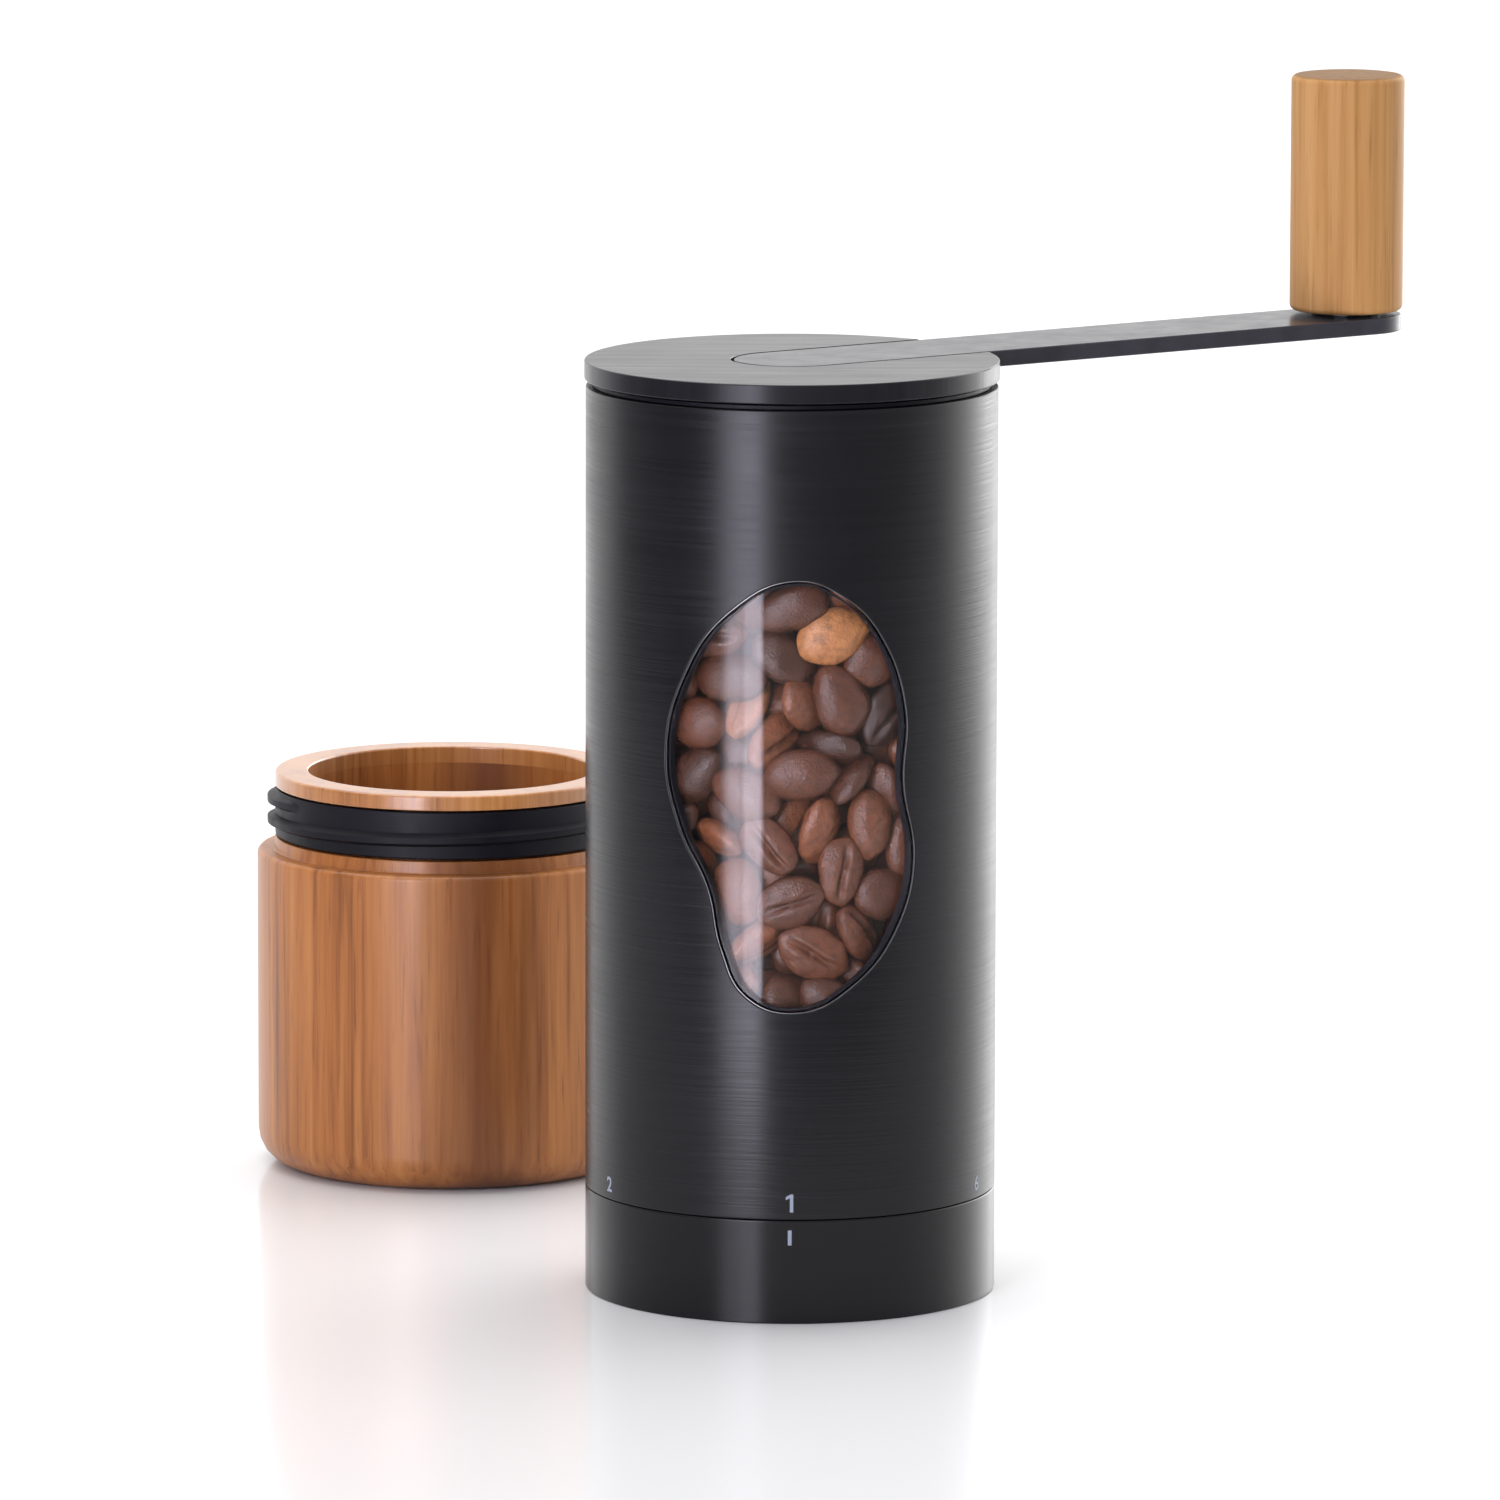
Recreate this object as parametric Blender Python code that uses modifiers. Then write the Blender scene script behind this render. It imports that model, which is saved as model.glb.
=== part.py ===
# Hand crank coffee grinder.
#
# A steel tube holds the beans behind a curved window.  A crank arm let into the lid turns
# the drive shaft and its inner burr, the ring under the tube sets the grind, and a turned
# wooden jar screws into that ring.  Here the grinder stands on its ring, with the jar
# unscrewed and standing behind it.
#
# Lengths are in metres, +Z is up, and the window and the number 1 face -Y.

import math

import bmesh
import bpy

# Clearances
FIT_GAP = 0.0003        # between pieces that are pressed, glued or screwed together
RUN_GAP = 0.0001        # radial, between a shaft and its bush
TURN_GAP = 0.0003       # radial, between larger turning or sliding rims
THREAD_GAP = 0.0002     # radial, between the jar's thread and its socket

# Where the crank and the jar are
CRANK_ANGLE = 34.5      # degrees, from +X towards +Y
CRANK_RADIUS = 0.1005
JAR_X = -0.0523         # from the grinder's axis
JAR_Y = 0.097

# Body tube and window
BODY_RADIUS = 0.030
BODY_WALL = 0.0024
TUBE_HEIGHT = 0.1177
EDGE_CHAMFER = 0.0002
WINDOW_SILL = 0.0303    # above the tube's lower end
WINDOW_HEIGHT = 0.0628
WINDOW_HALF_WIDTH = 0.0194
WEDGE_REACH = 0.5       # window's cutter, beyond both faces, as a share of the radius
PANE_WALL = 0.0020
PANE_RECESS = 0.0002

# Adjusting ring, its nut and its clip
RING_HEIGHT = 0.015
RING_WALL = 0.0016
SEAM_GAP = 0.0003
NUT_FLANGE = 0.0023
NUT_RIM = 0.0012
CLIP_THICKNESS = 0.0011
CLIP_HOLD = 0.0006      # how far the clip reaches over the housing's lip
CLIP_OPENING = 24.0     # degrees
GROOVE_DEPTH = 0.0010

# Burr housing, carrier and burrs
HOUSING_HEIGHT = 0.0177
HOUSING_LIP = 0.0020
HOUSING_WALL = 0.0017   # beside the nut's hub
CARRIER_HEIGHT = 0.0153
CARRIER_WALL = 0.0032
CARRIER_FLOOR = 0.0006
KEY_WIDTH = 0.0040
KEY_HEIGHT = 0.0060
KEY_DEPTH = 0.0016
BURR_HEIGHT = 0.0140
BURR_RIM = 0.0018       # outer burr's wall at its lower edge
BURR_TAPER = 0.0032     # how much the grinding cone narrows over its height
GRIND_HEIGHT = 0.0067
GRIND_GAP = 0.0004
MOUTH_FLARE = 0.0020
BURR_TEETH = 20
BREAKER_TEETH = 5
BURR_TOOTH = 0.0012     # depth
BURR_LEAD = 24.0        # degrees round the cone, from bottom to top
BREAKER_TOP_RADIUS = 0.0082
BREAKER_TOOTH = 0.0030
BREAKER_LEAD = 50.0
BREAKER_SINK = 0.0005   # how far the breaker reaches down into the burr

# Shaft, bushes and bridges
SHAFT_RADIUS = 0.0035
HEX_TRIM = 0.000036     # hexagon's corners, in from the round shaft
HEX_GAP = 0.00015
BUSH_WALL = 0.0015
HUB_WALL = 0.0018
BRIDGE_RIM = 0.0030
BRIDGE_ARM = 0.0042
TOP_BRIDGE_HEIGHT = 0.0040
LOWER_BRIDGE_HEIGHT = 0.0032
BUSH_STANDOUT = 0.0002
SPRING_WIRE = 0.0009
SPRING_COILS = 3
NUT_FLATS = 0.0110
NUT_HEIGHT = 0.0022
WASHER_RADIUS = 0.0070
WASHER_THICKNESS = 0.0008
SHAFT_END = 0.0008      # below the burr nut
SHAFT_CLIP_REACH = 0.0020   # clip's rim, out from the shaft
SHAFT_CLIP_THICKNESS = 0.0008

# Hopper
FUNNEL_HEIGHT = 0.0054
FUNNEL_MOUTH = 0.0165
FUNNEL_LIP = 0.0012
BEAN_HEADROOM = 0.0060
BRIDGE_DEPTH = 0.0120   # top bridge below the tube's upper end
COLLAR_WALL = 0.0017
COLLAR_FLANGE = 0.0006
COLLAR_STEP = 0.0010    # how far the collar's flange is set in from the tube's face

# Lid, crank arm and knob
LID_OVERHANG = 0.0002   # lid's rim, out from the body's face
LID_THICKNESS = 0.0028
LID_GAP = 0.00096
HUB_THICKNESS = 0.0027
BOSS_RADIUS = 0.0065
BOSS_DEPTH = 0.0064
ARM_HALF_WIDTH = 0.0085
ARM_END_RADIUS = 0.0083
ARM_THICKNESS = 0.0024
SLOT_GAP = 0.0010
AXLE_RADIUS = 0.0023
AXLE_HEAD_RADIUS = 0.0040
AXLE_HEAD = 0.0011
KNOB_RADIUS = 0.00845
KNOB_HEIGHT = 0.0353
KNOB_LIFT = 0.00055     # above the arm
KNOB_ROUNDING = 0.0008
KNOB_ROOF = 0.0050
INSERT_WALL = 0.0017
INSERT_FLANGE = 0.0010

# Screws
SCREW_RADIUS = 0.0008
SCREW_HEAD_RADIUS = 0.0016
SCREW_HEAD = 0.0011
SCREW_WALL = 0.0005     # beside a sunk screw head
SCREW_BITE = 0.0014     # how far a lid screw reaches into its plate

# Jar
JAR_INSET = 0.00025     # jar's side, in from the body's
JAR_HEIGHT = 0.061
JAR_BASE_FILLET = 0.0055
JAR_FLOOR = 0.0060
JAR_WALL_ROUNDING = 0.0060
JAR_SHOULDER_ROUNDING = 0.0006
JAR_MOUTH = 0.0219
NECK_CLEARANCE = 0.0004
THREAD_PITCH = 0.0032
THREAD_TURNS = 1.4
THREAD_HEIGHT = 0.0012
THREAD_BASE = 0.0024
THREAD_CREST = 0.0008
THREAD_SINK = 0.0004
COLLAR_HEIGHT = 0.0072
RIM_HEIGHT = 0.0023
NECK_WALL = 0.0031
RIM_ROUNDING = 0.0009

# Facets
FINE = 48
MEDIUM = 36
SMALL = 16

# The body's window outline, as shares of its half width and its height, from the top
# and on round by the left
WINDOW_SHAPE = [
    (0.03, 1.0), (-0.45, 0.93), (-0.84, 0.77), (-1.0, 0.585), (-0.88, 0.425),
    (-0.64, 0.285), (-0.53, 0.145), (-0.34, 0.037), (0.04, 0.0), (0.47, 0.059),
    (0.84, 0.191), (0.985, 0.342), (0.887, 0.525), (0.907, 0.69), (0.69, 0.868),
    (0.40, 0.96),
]

# Places that follow from the sizes above, upwards from the floor
TUBE_BOTTOM = RING_HEIGHT + SEAM_GAP
TUBE_TOP = TUBE_BOTTOM + TUBE_HEIGHT
NUT_TOP = RING_HEIGHT - FIT_GAP
SOCKET_ROOF = NUT_TOP - NUT_FLANGE
LIP_TOP = TUBE_BOTTOM + HOUSING_LIP
CLIP_BOTTOM = LIP_TOP + FIT_GAP
CLIP_TOP = CLIP_BOTTOM + CLIP_THICKNESS
NUT_HUB_TOP = CLIP_TOP + FIT_GAP + NUT_RIM
GUIDE_BOTTOM = NUT_HUB_TOP + 2 * FIT_GAP
CARRIER_BOTTOM = SOCKET_ROOF + 2 * FIT_GAP
CARRIER_TOP = CARRIER_BOTTOM + CARRIER_HEIGHT
BURR_BOTTOM = CARRIER_BOTTOM + CARRIER_FLOOR + FIT_GAP
BURR_TOP = BURR_BOTTOM + BURR_HEIGHT
HOUSING_TOP = TUBE_BOTTOM + HOUSING_HEIGHT
LOWER_BRIDGE_BOTTOM = HOUSING_TOP + FIT_GAP
LOWER_BRIDGE_TOP = LOWER_BRIDGE_BOTTOM + LOWER_BRIDGE_HEIGHT
FUNNEL_BOTTOM = LOWER_BRIDGE_TOP + FIT_GAP
FUNNEL_TOP = FUNNEL_BOTTOM + FUNNEL_HEIGHT
WINDOW_BOTTOM = TUBE_BOTTOM + WINDOW_SILL
TOP_BRIDGE_TOP = TUBE_TOP - BRIDGE_DEPTH
TOP_BRIDGE_BOTTOM = TOP_BRIDGE_TOP - TOP_BRIDGE_HEIGHT
BEAN_TOP = TOP_BRIDGE_BOTTOM - BEAN_HEADROOM
COLLAR_BOTTOM = TOP_BRIDGE_TOP + FIT_GAP
LID_BOTTOM = TUBE_TOP + LID_GAP
LID_TOP = LID_BOTTOM + LID_THICKNESS
HUB_TOP = LID_BOTTOM - FIT_GAP
HUB_BOTTOM = HUB_TOP - HUB_THICKNESS
BOSS_BOTTOM = HUB_BOTTOM - BOSS_DEPTH
ARM_BOTTOM = LID_TOP - ARM_THICKNESS
KNOB_BOTTOM = LID_TOP + KNOB_LIFT
KNOB_TOP = KNOB_BOTTOM + KNOB_HEIGHT
SHAFT_CLIP_BOTTOM = TOP_BRIDGE_TOP + BUSH_STANDOUT + FIT_GAP
SHAFT_CLIP_TOP = SHAFT_CLIP_BOTTOM + SHAFT_CLIP_THICKNESS

# Radii, from the tube inwards
TUBE_BORE = BODY_RADIUS - BODY_WALL
INSIDE_RADIUS = TUBE_BORE - FIT_GAP
SOCKET_RADIUS = BODY_RADIUS - RING_WALL
NUT_RADIUS = SOCKET_RADIUS - FIT_GAP
LIP_BORE = INSIDE_RADIUS - HOUSING_WALL
NUT_HUB_RADIUS = LIP_BORE - TURN_GAP
NUT_BORE = NUT_HUB_RADIUS - 2 * NUT_RIM
CARRIER_RADIUS = NUT_BORE - TURN_GAP
BURR_RADIUS = CARRIER_RADIUS - CARRIER_WALL - FIT_GAP
GRIND_RADIUS = BURR_RADIUS - BURR_RIM
COLLAR_BORE = INSIDE_RADIUS - COLLAR_WALL
BUSH_BORE = SHAFT_RADIUS + RUN_GAP
BUSH_RADIUS = BUSH_BORE + BUSH_WALL
HUB_BORE = BUSH_RADIUS + FIT_GAP
HUB_RADIUS = HUB_BORE + HUB_WALL
HEX_RADIUS = SHAFT_RADIUS - HEX_TRIM
HEX_SOCKET_RADIUS = HEX_RADIUS + HEX_GAP / math.cos(math.pi / 6)
SHAFT_CLIP_RADIUS = SHAFT_RADIUS + SHAFT_CLIP_REACH
LID_RADIUS = BODY_RADIUS + LID_OVERHANG
JAR_RADIUS = BODY_RADIUS - JAR_INSET
THREAD_RADIUS = SOCKET_RADIUS - THREAD_GAP
COLLAR_RADIUS = THREAD_RADIUS - THREAD_HEIGHT

# The crank arm's direction and the knob's place, from the grinder's axis
CRANK = math.radians(CRANK_ANGLE)
KNOB_X = CRANK_RADIUS * math.cos(CRANK)
KNOB_Y = CRANK_RADIUS * math.sin(CRANK)

# The origin is under the middle of the whole arrangement's box
GRINDER_X = -(KNOB_X + KNOB_RADIUS + JAR_X - JAR_RADIUS) / 2
GRINDER_Y = -(JAR_Y + JAR_RADIUS - LID_RADIUS) / 2

for old_object in list(bpy.data.objects):
    bpy.data.objects.remove(old_object, do_unlink=True)

parts = bpy.data.collections.new("hand_crank_coffee_grinder")
cutters = bpy.data.collections.new("cutters")
bpy.context.scene.collection.children.link(parts)
bpy.context.scene.collection.children.link(cutters)


def finish(name, colour, roughness, metallic=0.0, transmission=0.0):
    material = bpy.data.materials.new(name)
    material.use_nodes = True
    shader = material.node_tree.nodes["Principled BSDF"]
    shader.inputs["Base Color"].default_value = (*colour, 1.0)
    shader.inputs["Roughness"].default_value = roughness
    shader.inputs["Metallic"].default_value = metallic
    shader.inputs["Transmission Weight"].default_value = transmission
    material.diffuse_color = (*colour, 1.0)
    return material


BLACK_STEEL = finish("black_steel", (0.012, 0.012, 0.014), 0.30)
BRIGHT_STEEL = finish("bright_steel", (0.62, 0.62, 0.60), 0.25, 1.0)
SPRING_STEEL = finish("spring_steel", (0.42, 0.42, 0.41), 0.30, 1.0)
BRASS = finish("brass", (0.72, 0.50, 0.20), 0.32, 1.0)
BRONZE = finish("bronze", (0.45, 0.26, 0.12), 0.40, 1.0)
BLACK_PLASTIC = finish("black_plastic", (0.020, 0.020, 0.021), 0.45)
CLEAR_PLASTIC = finish("clear_plastic", (0.95, 0.95, 0.95), 0.04, 0.0, 1.0)
BURR_STEEL = finish("burr_steel", (0.30, 0.30, 0.31), 0.38, 1.0)
WOOD = finish("acacia_wood", (0.36, 0.17, 0.07), 0.48)
PALE_WOOD = finish("pale_acacia_wood", (0.50, 0.34, 0.22), 0.50)
COFFEE = finish("roasted_coffee", (0.075, 0.032, 0.016), 0.45)


def pivot(name, x, y, parent=None):
    # An empty that carries one moving group, on that group's axis.
    empty = bpy.data.objects.new(name, None)
    empty.empty_display_size = 0.01
    empty.location = (x, y, 0.0)
    empty.parent = parent
    parts.objects.link(empty)
    return empty


def place(mesh_object, material, parent):
    parts.objects.link(mesh_object)
    mesh_object.parent = parent
    mesh_object.data.materials.append(material)
    return mesh_object


def hide_as_cutter(mesh_object, parent):
    cutters.objects.link(mesh_object)
    mesh_object.parent = parent
    mesh_object.hide_render = True
    mesh_object.display_type = "WIRE"
    return mesh_object


def turned_shape(name, profile, facets, sweep=2 * math.pi, rise=0.0):
    # Turns a closed (radius, height) outline about Z.  The outline runs down its outer
    # side first.  Where it ends on the axis it is left open, and Screw closes it there.
    mesh = bpy.data.meshes.new(name)
    on_axis = profile[0][0] == 0.0
    edges = [(i, i + 1) for i in range(len(profile) - 1)]
    if not on_axis:
        edges.append((len(profile) - 1, 0))
    mesh.from_pydata([(r, 0.0, z) for r, z in profile], edges, [])
    shape = bpy.data.objects.new(name, mesh)
    screw = shape.modifiers.new("turn", "SCREW")
    screw.axis = "Z"
    screw.angle = sweep
    screw.screw_offset = rise
    screw.steps = facets
    screw.render_steps = facets
    screw.use_smooth_shade = True
    screw.use_merge_vertices = sweep == 2 * math.pi
    screw.merge_threshold = 0.000001
    return shape


def turned(name, profile, material, parent, facets=FINE, x=0.0, y=0.0):
    shape = place(turned_shape(name, profile, facets), material, parent)
    shape.location = (x, y, 0.0)
    return shape


def sleeve(outer, inner, bottom, top):
    # Outline of a plain ring.
    return [(outer, top), (outer, bottom), (inner, bottom), (inner, top)]


def arc(radius, start, end, steps, x=0.0, y=0.0):
    # Points on an arc in degrees, both ends included.
    points = []
    for i in range(steps + 1):
        angle = math.radians(start + (end - start) * i / steps)
        points.append((x + radius * math.cos(angle), y + radius * math.sin(angle)))
    return points


def baked_mesh(shape):
    # The shape's finished mesh, with doubled points merged and open ends closed.
    scene_graph = bpy.context.evaluated_depsgraph_get()
    mesh = bpy.data.meshes.new_from_object(shape.evaluated_get(scene_graph))
    work = bmesh.new()
    work.from_mesh(mesh)
    bmesh.ops.remove_doubles(work, verts=work.verts, dist=0.000001)
    open_edges = [edge for edge in work.edges if edge.is_boundary]
    bmesh.ops.holes_fill(work, edges=open_edges, sides=0)
    bmesh.ops.recalc_face_normals(work, faces=work.faces)
    work.to_mesh(mesh)
    work.free()
    return mesh


def bake(shape):
    # Replaces a curve or a modified shape by a plain mesh object of the same name.
    name = shape.name
    bpy.context.scene.collection.objects.link(shape)
    bpy.context.view_layer.update()
    mesh = baked_mesh(shape)
    bpy.data.objects.remove(shape, do_unlink=True)
    baked = bpy.data.objects.new(name, mesh)
    mesh.name = name
    return baked


def outline_curve(name, outline, thickness, smooth=False):
    curve = bpy.data.curves.new(name, "CURVE")
    curve.dimensions = "2D"
    curve.fill_mode = "BOTH"
    curve.extrude = thickness / 2
    if smooth:
        spline = curve.splines.new("BEZIER")
        spline.bezier_points.add(len(outline) - 1)
        for point, (x, y) in zip(spline.bezier_points, outline):
            point.co = (x, y, 0.0)
            point.handle_left_type = "AUTO"
            point.handle_right_type = "AUTO"
        spline.resolution_u = 4
    else:
        spline = curve.splines.new("POLY")
        spline.points.add(len(outline) - 1)
        for point, (x, y) in zip(spline.points, outline):
            point.co = (x, y, 0.0, 1.0)
    spline.use_cyclic_u = True
    return bpy.data.objects.new(name, curve)


def slab(name, outline, bottom, top):
    # A flat outline given thickness from one height to another.
    shape = bake(outline_curve(name, outline, top - bottom))
    for vertex in shape.data.vertices:
        vertex.co.z += (bottom + top) / 2
    return shape


def cut(target, cutter, operation="DIFFERENCE"):
    boolean = target.modifiers.new(cutter.name, "BOOLEAN")
    boolean.operation = operation
    boolean.solver = "EXACT"
    boolean.object = cutter
    return target


def plain_bar(name, sides, radius, bottom, top):
    # A round or six-sided bar.
    mesh = bpy.data.meshes.new(name)
    work = bmesh.new()
    bmesh.ops.create_cone(
        work, cap_ends=True, segments=sides, radius1=radius, radius2=radius,
        depth=top - bottom,
    )
    work.to_mesh(mesh)
    work.free()
    shape = bpy.data.objects.new(name, mesh)
    shape.location.z = (bottom + top) / 2
    return shape


def prism(name, sides, radius, bottom, top, parent, x=0.0, y=0.0):
    # A bar used to cut or to join.
    shape = hide_as_cutter(plain_bar(name, sides, radius, bottom, top), parent)
    shape.location.x = x
    shape.location.y = y
    return shape


def helix_ridge(name, inner, outer, base_inside, start_height, parent, turn=0.0):
    # One ridge of a coarse thread, wide at the wall it stands on and narrow at its crest.
    half_base = THREAD_BASE / 2
    half_crest = THREAD_CREST / 2
    if base_inside:
        profile = [(outer, half_crest), (outer, -half_crest),
                   (inner, -half_base), (inner, half_base)]
    else:
        profile = [(outer, half_base), (outer, -half_base),
                   (inner, -half_crest), (inner, half_crest)]
    steps = round(2 * SMALL * THREAD_TURNS)
    sweep = 2 * math.pi * THREAD_TURNS
    ridge = bake(turned_shape(name, profile, steps, sweep, THREAD_PITCH * THREAD_TURNS))
    hide_as_cutter(ridge, parent)
    ridge.location.z = start_height
    ridge.rotation_euler.z = turn
    return ridge


def polar(radius, angle):
    return radius * math.cos(angle), radius * math.sin(angle)


# Groups that move, each on its own axis
housing = pivot("housing_group", GRINDER_X, GRINDER_Y)
ring = pivot("ring_group", 0.0, 0.0, housing)
carrier = pivot("carrier_group", 0.0, 0.0, housing)
shaft = pivot("shaft_group", 0.0, 0.0, housing)
lid = pivot("lid_group", 0.0, 0.0, shaft)
knob = pivot("knob_group", KNOB_X, KNOB_Y, lid)
jar = pivot("jar_group", JAR_X, JAR_Y, housing)


def window_wedge(name, inset):
    # The window's outline wrapped round the body's axis, from well inside the tube to
    # well outside it, so that its sides are cut square to the tube's surface.
    half_width = WINDOW_HALF_WIDTH - inset
    height = WINDOW_HEIGHT - 2 * inset
    outline = [(u * half_width, v * height) for u, v in WINDOW_SHAPE]
    wedge = bake(outline_curve(name, outline, 2 * WEDGE_REACH * BODY_RADIUS, smooth=True))
    work = bmesh.new()
    work.from_mesh(wedge.data)
    for radius in (TUBE_BORE - FIT_GAP, BODY_RADIUS + FIT_GAP):
        # An edge just past each face keeps the sides from twisting between them.
        whole = work.verts[:] + work.edges[:] + work.faces[:]
        bmesh.ops.bisect_plane(work, geom=whole, plane_co=(0, 0, radius - BODY_RADIUS),
                               plane_no=(0, 0, 1))
    for vertex in work.verts:
        angle = vertex.co.x / BODY_RADIUS
        reach = BODY_RADIUS + vertex.co.z
        height_here = vertex.co.y + WINDOW_BOTTOM + inset
        vertex.co = (reach * math.sin(angle), -reach * math.cos(angle), height_here)
    bmesh.ops.recalc_face_normals(work, faces=work.faces)
    work.to_mesh(wedge.data)
    work.free()
    return hide_as_cutter(wedge, housing)


def make_body():
    c = EDGE_CHAMFER
    outline = [
        (BODY_RADIUS - c, TUBE_TOP), (BODY_RADIUS, TUBE_TOP - c),
        (BODY_RADIUS, TUBE_BOTTOM + c), (BODY_RADIUS - c, TUBE_BOTTOM),
        (TUBE_BORE, TUBE_BOTTOM), (TUBE_BORE, TUBE_TOP),
    ]
    tube = turned("body_tube", outline, BLACK_STEEL, housing)
    cut(tube, window_wedge("window_cut", 0.0))

    pane_outer = BODY_RADIUS - PANE_RECESS
    window_top = WINDOW_BOTTOM + WINDOW_HEIGHT
    blank = sleeve(pane_outer, pane_outer - PANE_WALL, WINDOW_BOTTOM - FIT_GAP,
                   window_top + FIT_GAP)
    pane = turned("window_pane", blank, CLEAR_PLASTIC, housing)
    cut(pane, window_wedge("pane_trim", FIT_GAP), "INTERSECT")


def screw_outline(head_end, tip, grow=0.0):
    # Outline of a pan head screw, or of the room that it needs.
    way = 1.0 if tip > head_end else -1.0
    head = SCREW_HEAD_RADIUS + grow
    shank = SCREW_RADIUS + grow
    under_head = head_end + way * SCREW_HEAD
    outline = [
        (0.0, tip + way * grow), (shank, tip + way * grow), (shank, under_head + way * grow),
        (head, under_head + way * grow), (head, head_end - way * grow),
        (0.0, head_end - way * grow),
    ]
    if way < 0:
        outline.reverse()
    return outline


def screw(name, x, y, head_end, tip, parent):
    turned(name, screw_outline(head_end, tip), BRIGHT_STEEL, parent, 12, x, y)
    room = turned_shape(f"{name}_room", screw_outline(head_end, tip, FIT_GAP), 12)
    hide_as_cutter(room, parent)
    room.location = (x, y, 0.0)
    return room


def bridge(name, bottom, top, material):
    # A ring with a hub and three arms, which leaves room for beans to fall between them.
    piece = turned(name, sleeve(INSIDE_RADIUS, HUB_BORE, bottom, top), material, housing,
                   MEDIUM)
    rim = INSIDE_RADIUS - BRIDGE_RIM
    rim_half = 60.0 - math.degrees(math.asin(BRIDGE_ARM / 2 / rim))
    hub_half = 60.0 - math.degrees(math.asin(BRIDGE_ARM / 2 / HUB_RADIUS))
    for i in range(3):
        middle = 30.0 + 120.0 * i
        gap = arc(rim, middle - rim_half, middle + rim_half, 8)
        gap += arc(HUB_RADIUS, middle + hub_half, middle - hub_half, 4)
        opening = slab(f"{name}_gap_{i + 1}", gap, bottom - HUB_WALL, top + HUB_WALL)
        cut(piece, hide_as_cutter(opening, housing))
    return piece


def make_hopper():
    funnel = [
        (INSIDE_RADIUS, FUNNEL_TOP), (INSIDE_RADIUS, FUNNEL_BOTTOM),
        (FUNNEL_MOUTH, FUNNEL_BOTTOM), (FUNNEL_MOUTH, FUNNEL_BOTTOM + FUNNEL_LIP),
        (INSIDE_RADIUS - FUNNEL_LIP, FUNNEL_TOP),
    ]
    turned("hopper_funnel", funnel, BLACK_PLASTIC, housing, MEDIUM)
    beans = sleeve(INSIDE_RADIUS, SHAFT_RADIUS + 2 * FIT_GAP, FUNNEL_TOP + FIT_GAP, BEAN_TOP)
    turned("coffee_beans", beans, COFFEE, housing, MEDIUM)

    bridge("top_bridge", TOP_BRIDGE_BOTTOM, TOP_BRIDGE_TOP, BLACK_PLASTIC)
    bush = sleeve(BUSH_RADIUS, BUSH_BORE, TOP_BRIDGE_BOTTOM, TOP_BRIDGE_TOP + BUSH_STANDOUT)
    turned("upper_bush", bush, BRONZE, housing, SMALL)

    flange_bottom = TUBE_TOP + RUN_GAP
    flange_top = flange_bottom + COLLAR_FLANGE
    flange_radius = BODY_RADIUS - COLLAR_STEP
    collar = [
        (flange_radius, flange_top), (flange_radius, flange_bottom),
        (INSIDE_RADIUS, flange_bottom), (INSIDE_RADIUS, COLLAR_BOTTOM),
        (COLLAR_BORE, COLLAR_BOTTOM), (COLLAR_BORE, flange_top),
    ]
    turned("top_collar", collar, BLACK_PLASTIC, housing, MEDIUM)


def make_burr_housing():
    guide = CARRIER_RADIUS + TURN_GAP
    clip_room = LIP_BORE + GROOVE_DEPTH
    outline = [
        (INSIDE_RADIUS, HOUSING_TOP), (INSIDE_RADIUS, TUBE_BOTTOM), (LIP_BORE, TUBE_BOTTOM),
        (LIP_BORE, LIP_TOP), (clip_room, LIP_TOP), (clip_room, GUIDE_BOTTOM),
        (guide, GUIDE_BOTTOM), (guide, HOUSING_TOP),
    ]
    body = turned("burr_housing", outline, BLACK_PLASTIC, housing, MEDIUM)
    slot_depth = guide + KEY_DEPTH + TURN_GAP
    slot_half = KEY_WIDTH / 2 + TURN_GAP
    for i in range(3):
        angle = math.radians(30.0 + 120.0 * i)
        corners = [(guide - KEY_DEPTH, -slot_half), (slot_depth, -slot_half),
                   (slot_depth, slot_half), (guide - KEY_DEPTH, slot_half)]
        slot = slab(f"key_slot_{i + 1}", corners, GUIDE_BOTTOM - TURN_GAP,
                    HOUSING_TOP + TURN_GAP)
        slot.rotation_euler.z = angle
        cut(body, hide_as_cutter(slot, housing))

    lower = bridge("lower_bridge", LOWER_BRIDGE_BOTTOM, LOWER_BRIDGE_TOP, BURR_STEEL)
    bush = sleeve(BUSH_RADIUS, BUSH_BORE, LOWER_BRIDGE_BOTTOM, LOWER_BRIDGE_TOP + BUSH_STANDOUT)
    turned("lower_bush", bush, BRONZE, housing, SMALL)
    bolt_circle = INSIDE_RADIUS - SCREW_WALL - FIT_GAP - SCREW_HEAD_RADIUS
    for i in range(3):
        x, y = polar(bolt_circle, math.radians(90.0 + 120.0 * i))
        room = screw(f"bridge_screw_{i + 1}", x, y, LOWER_BRIDGE_TOP - FIT_GAP,
                     HOUSING_TOP - 2 * SCREW_HEAD, housing)
        cut(lower, room)
        cut(body, room)


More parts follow.
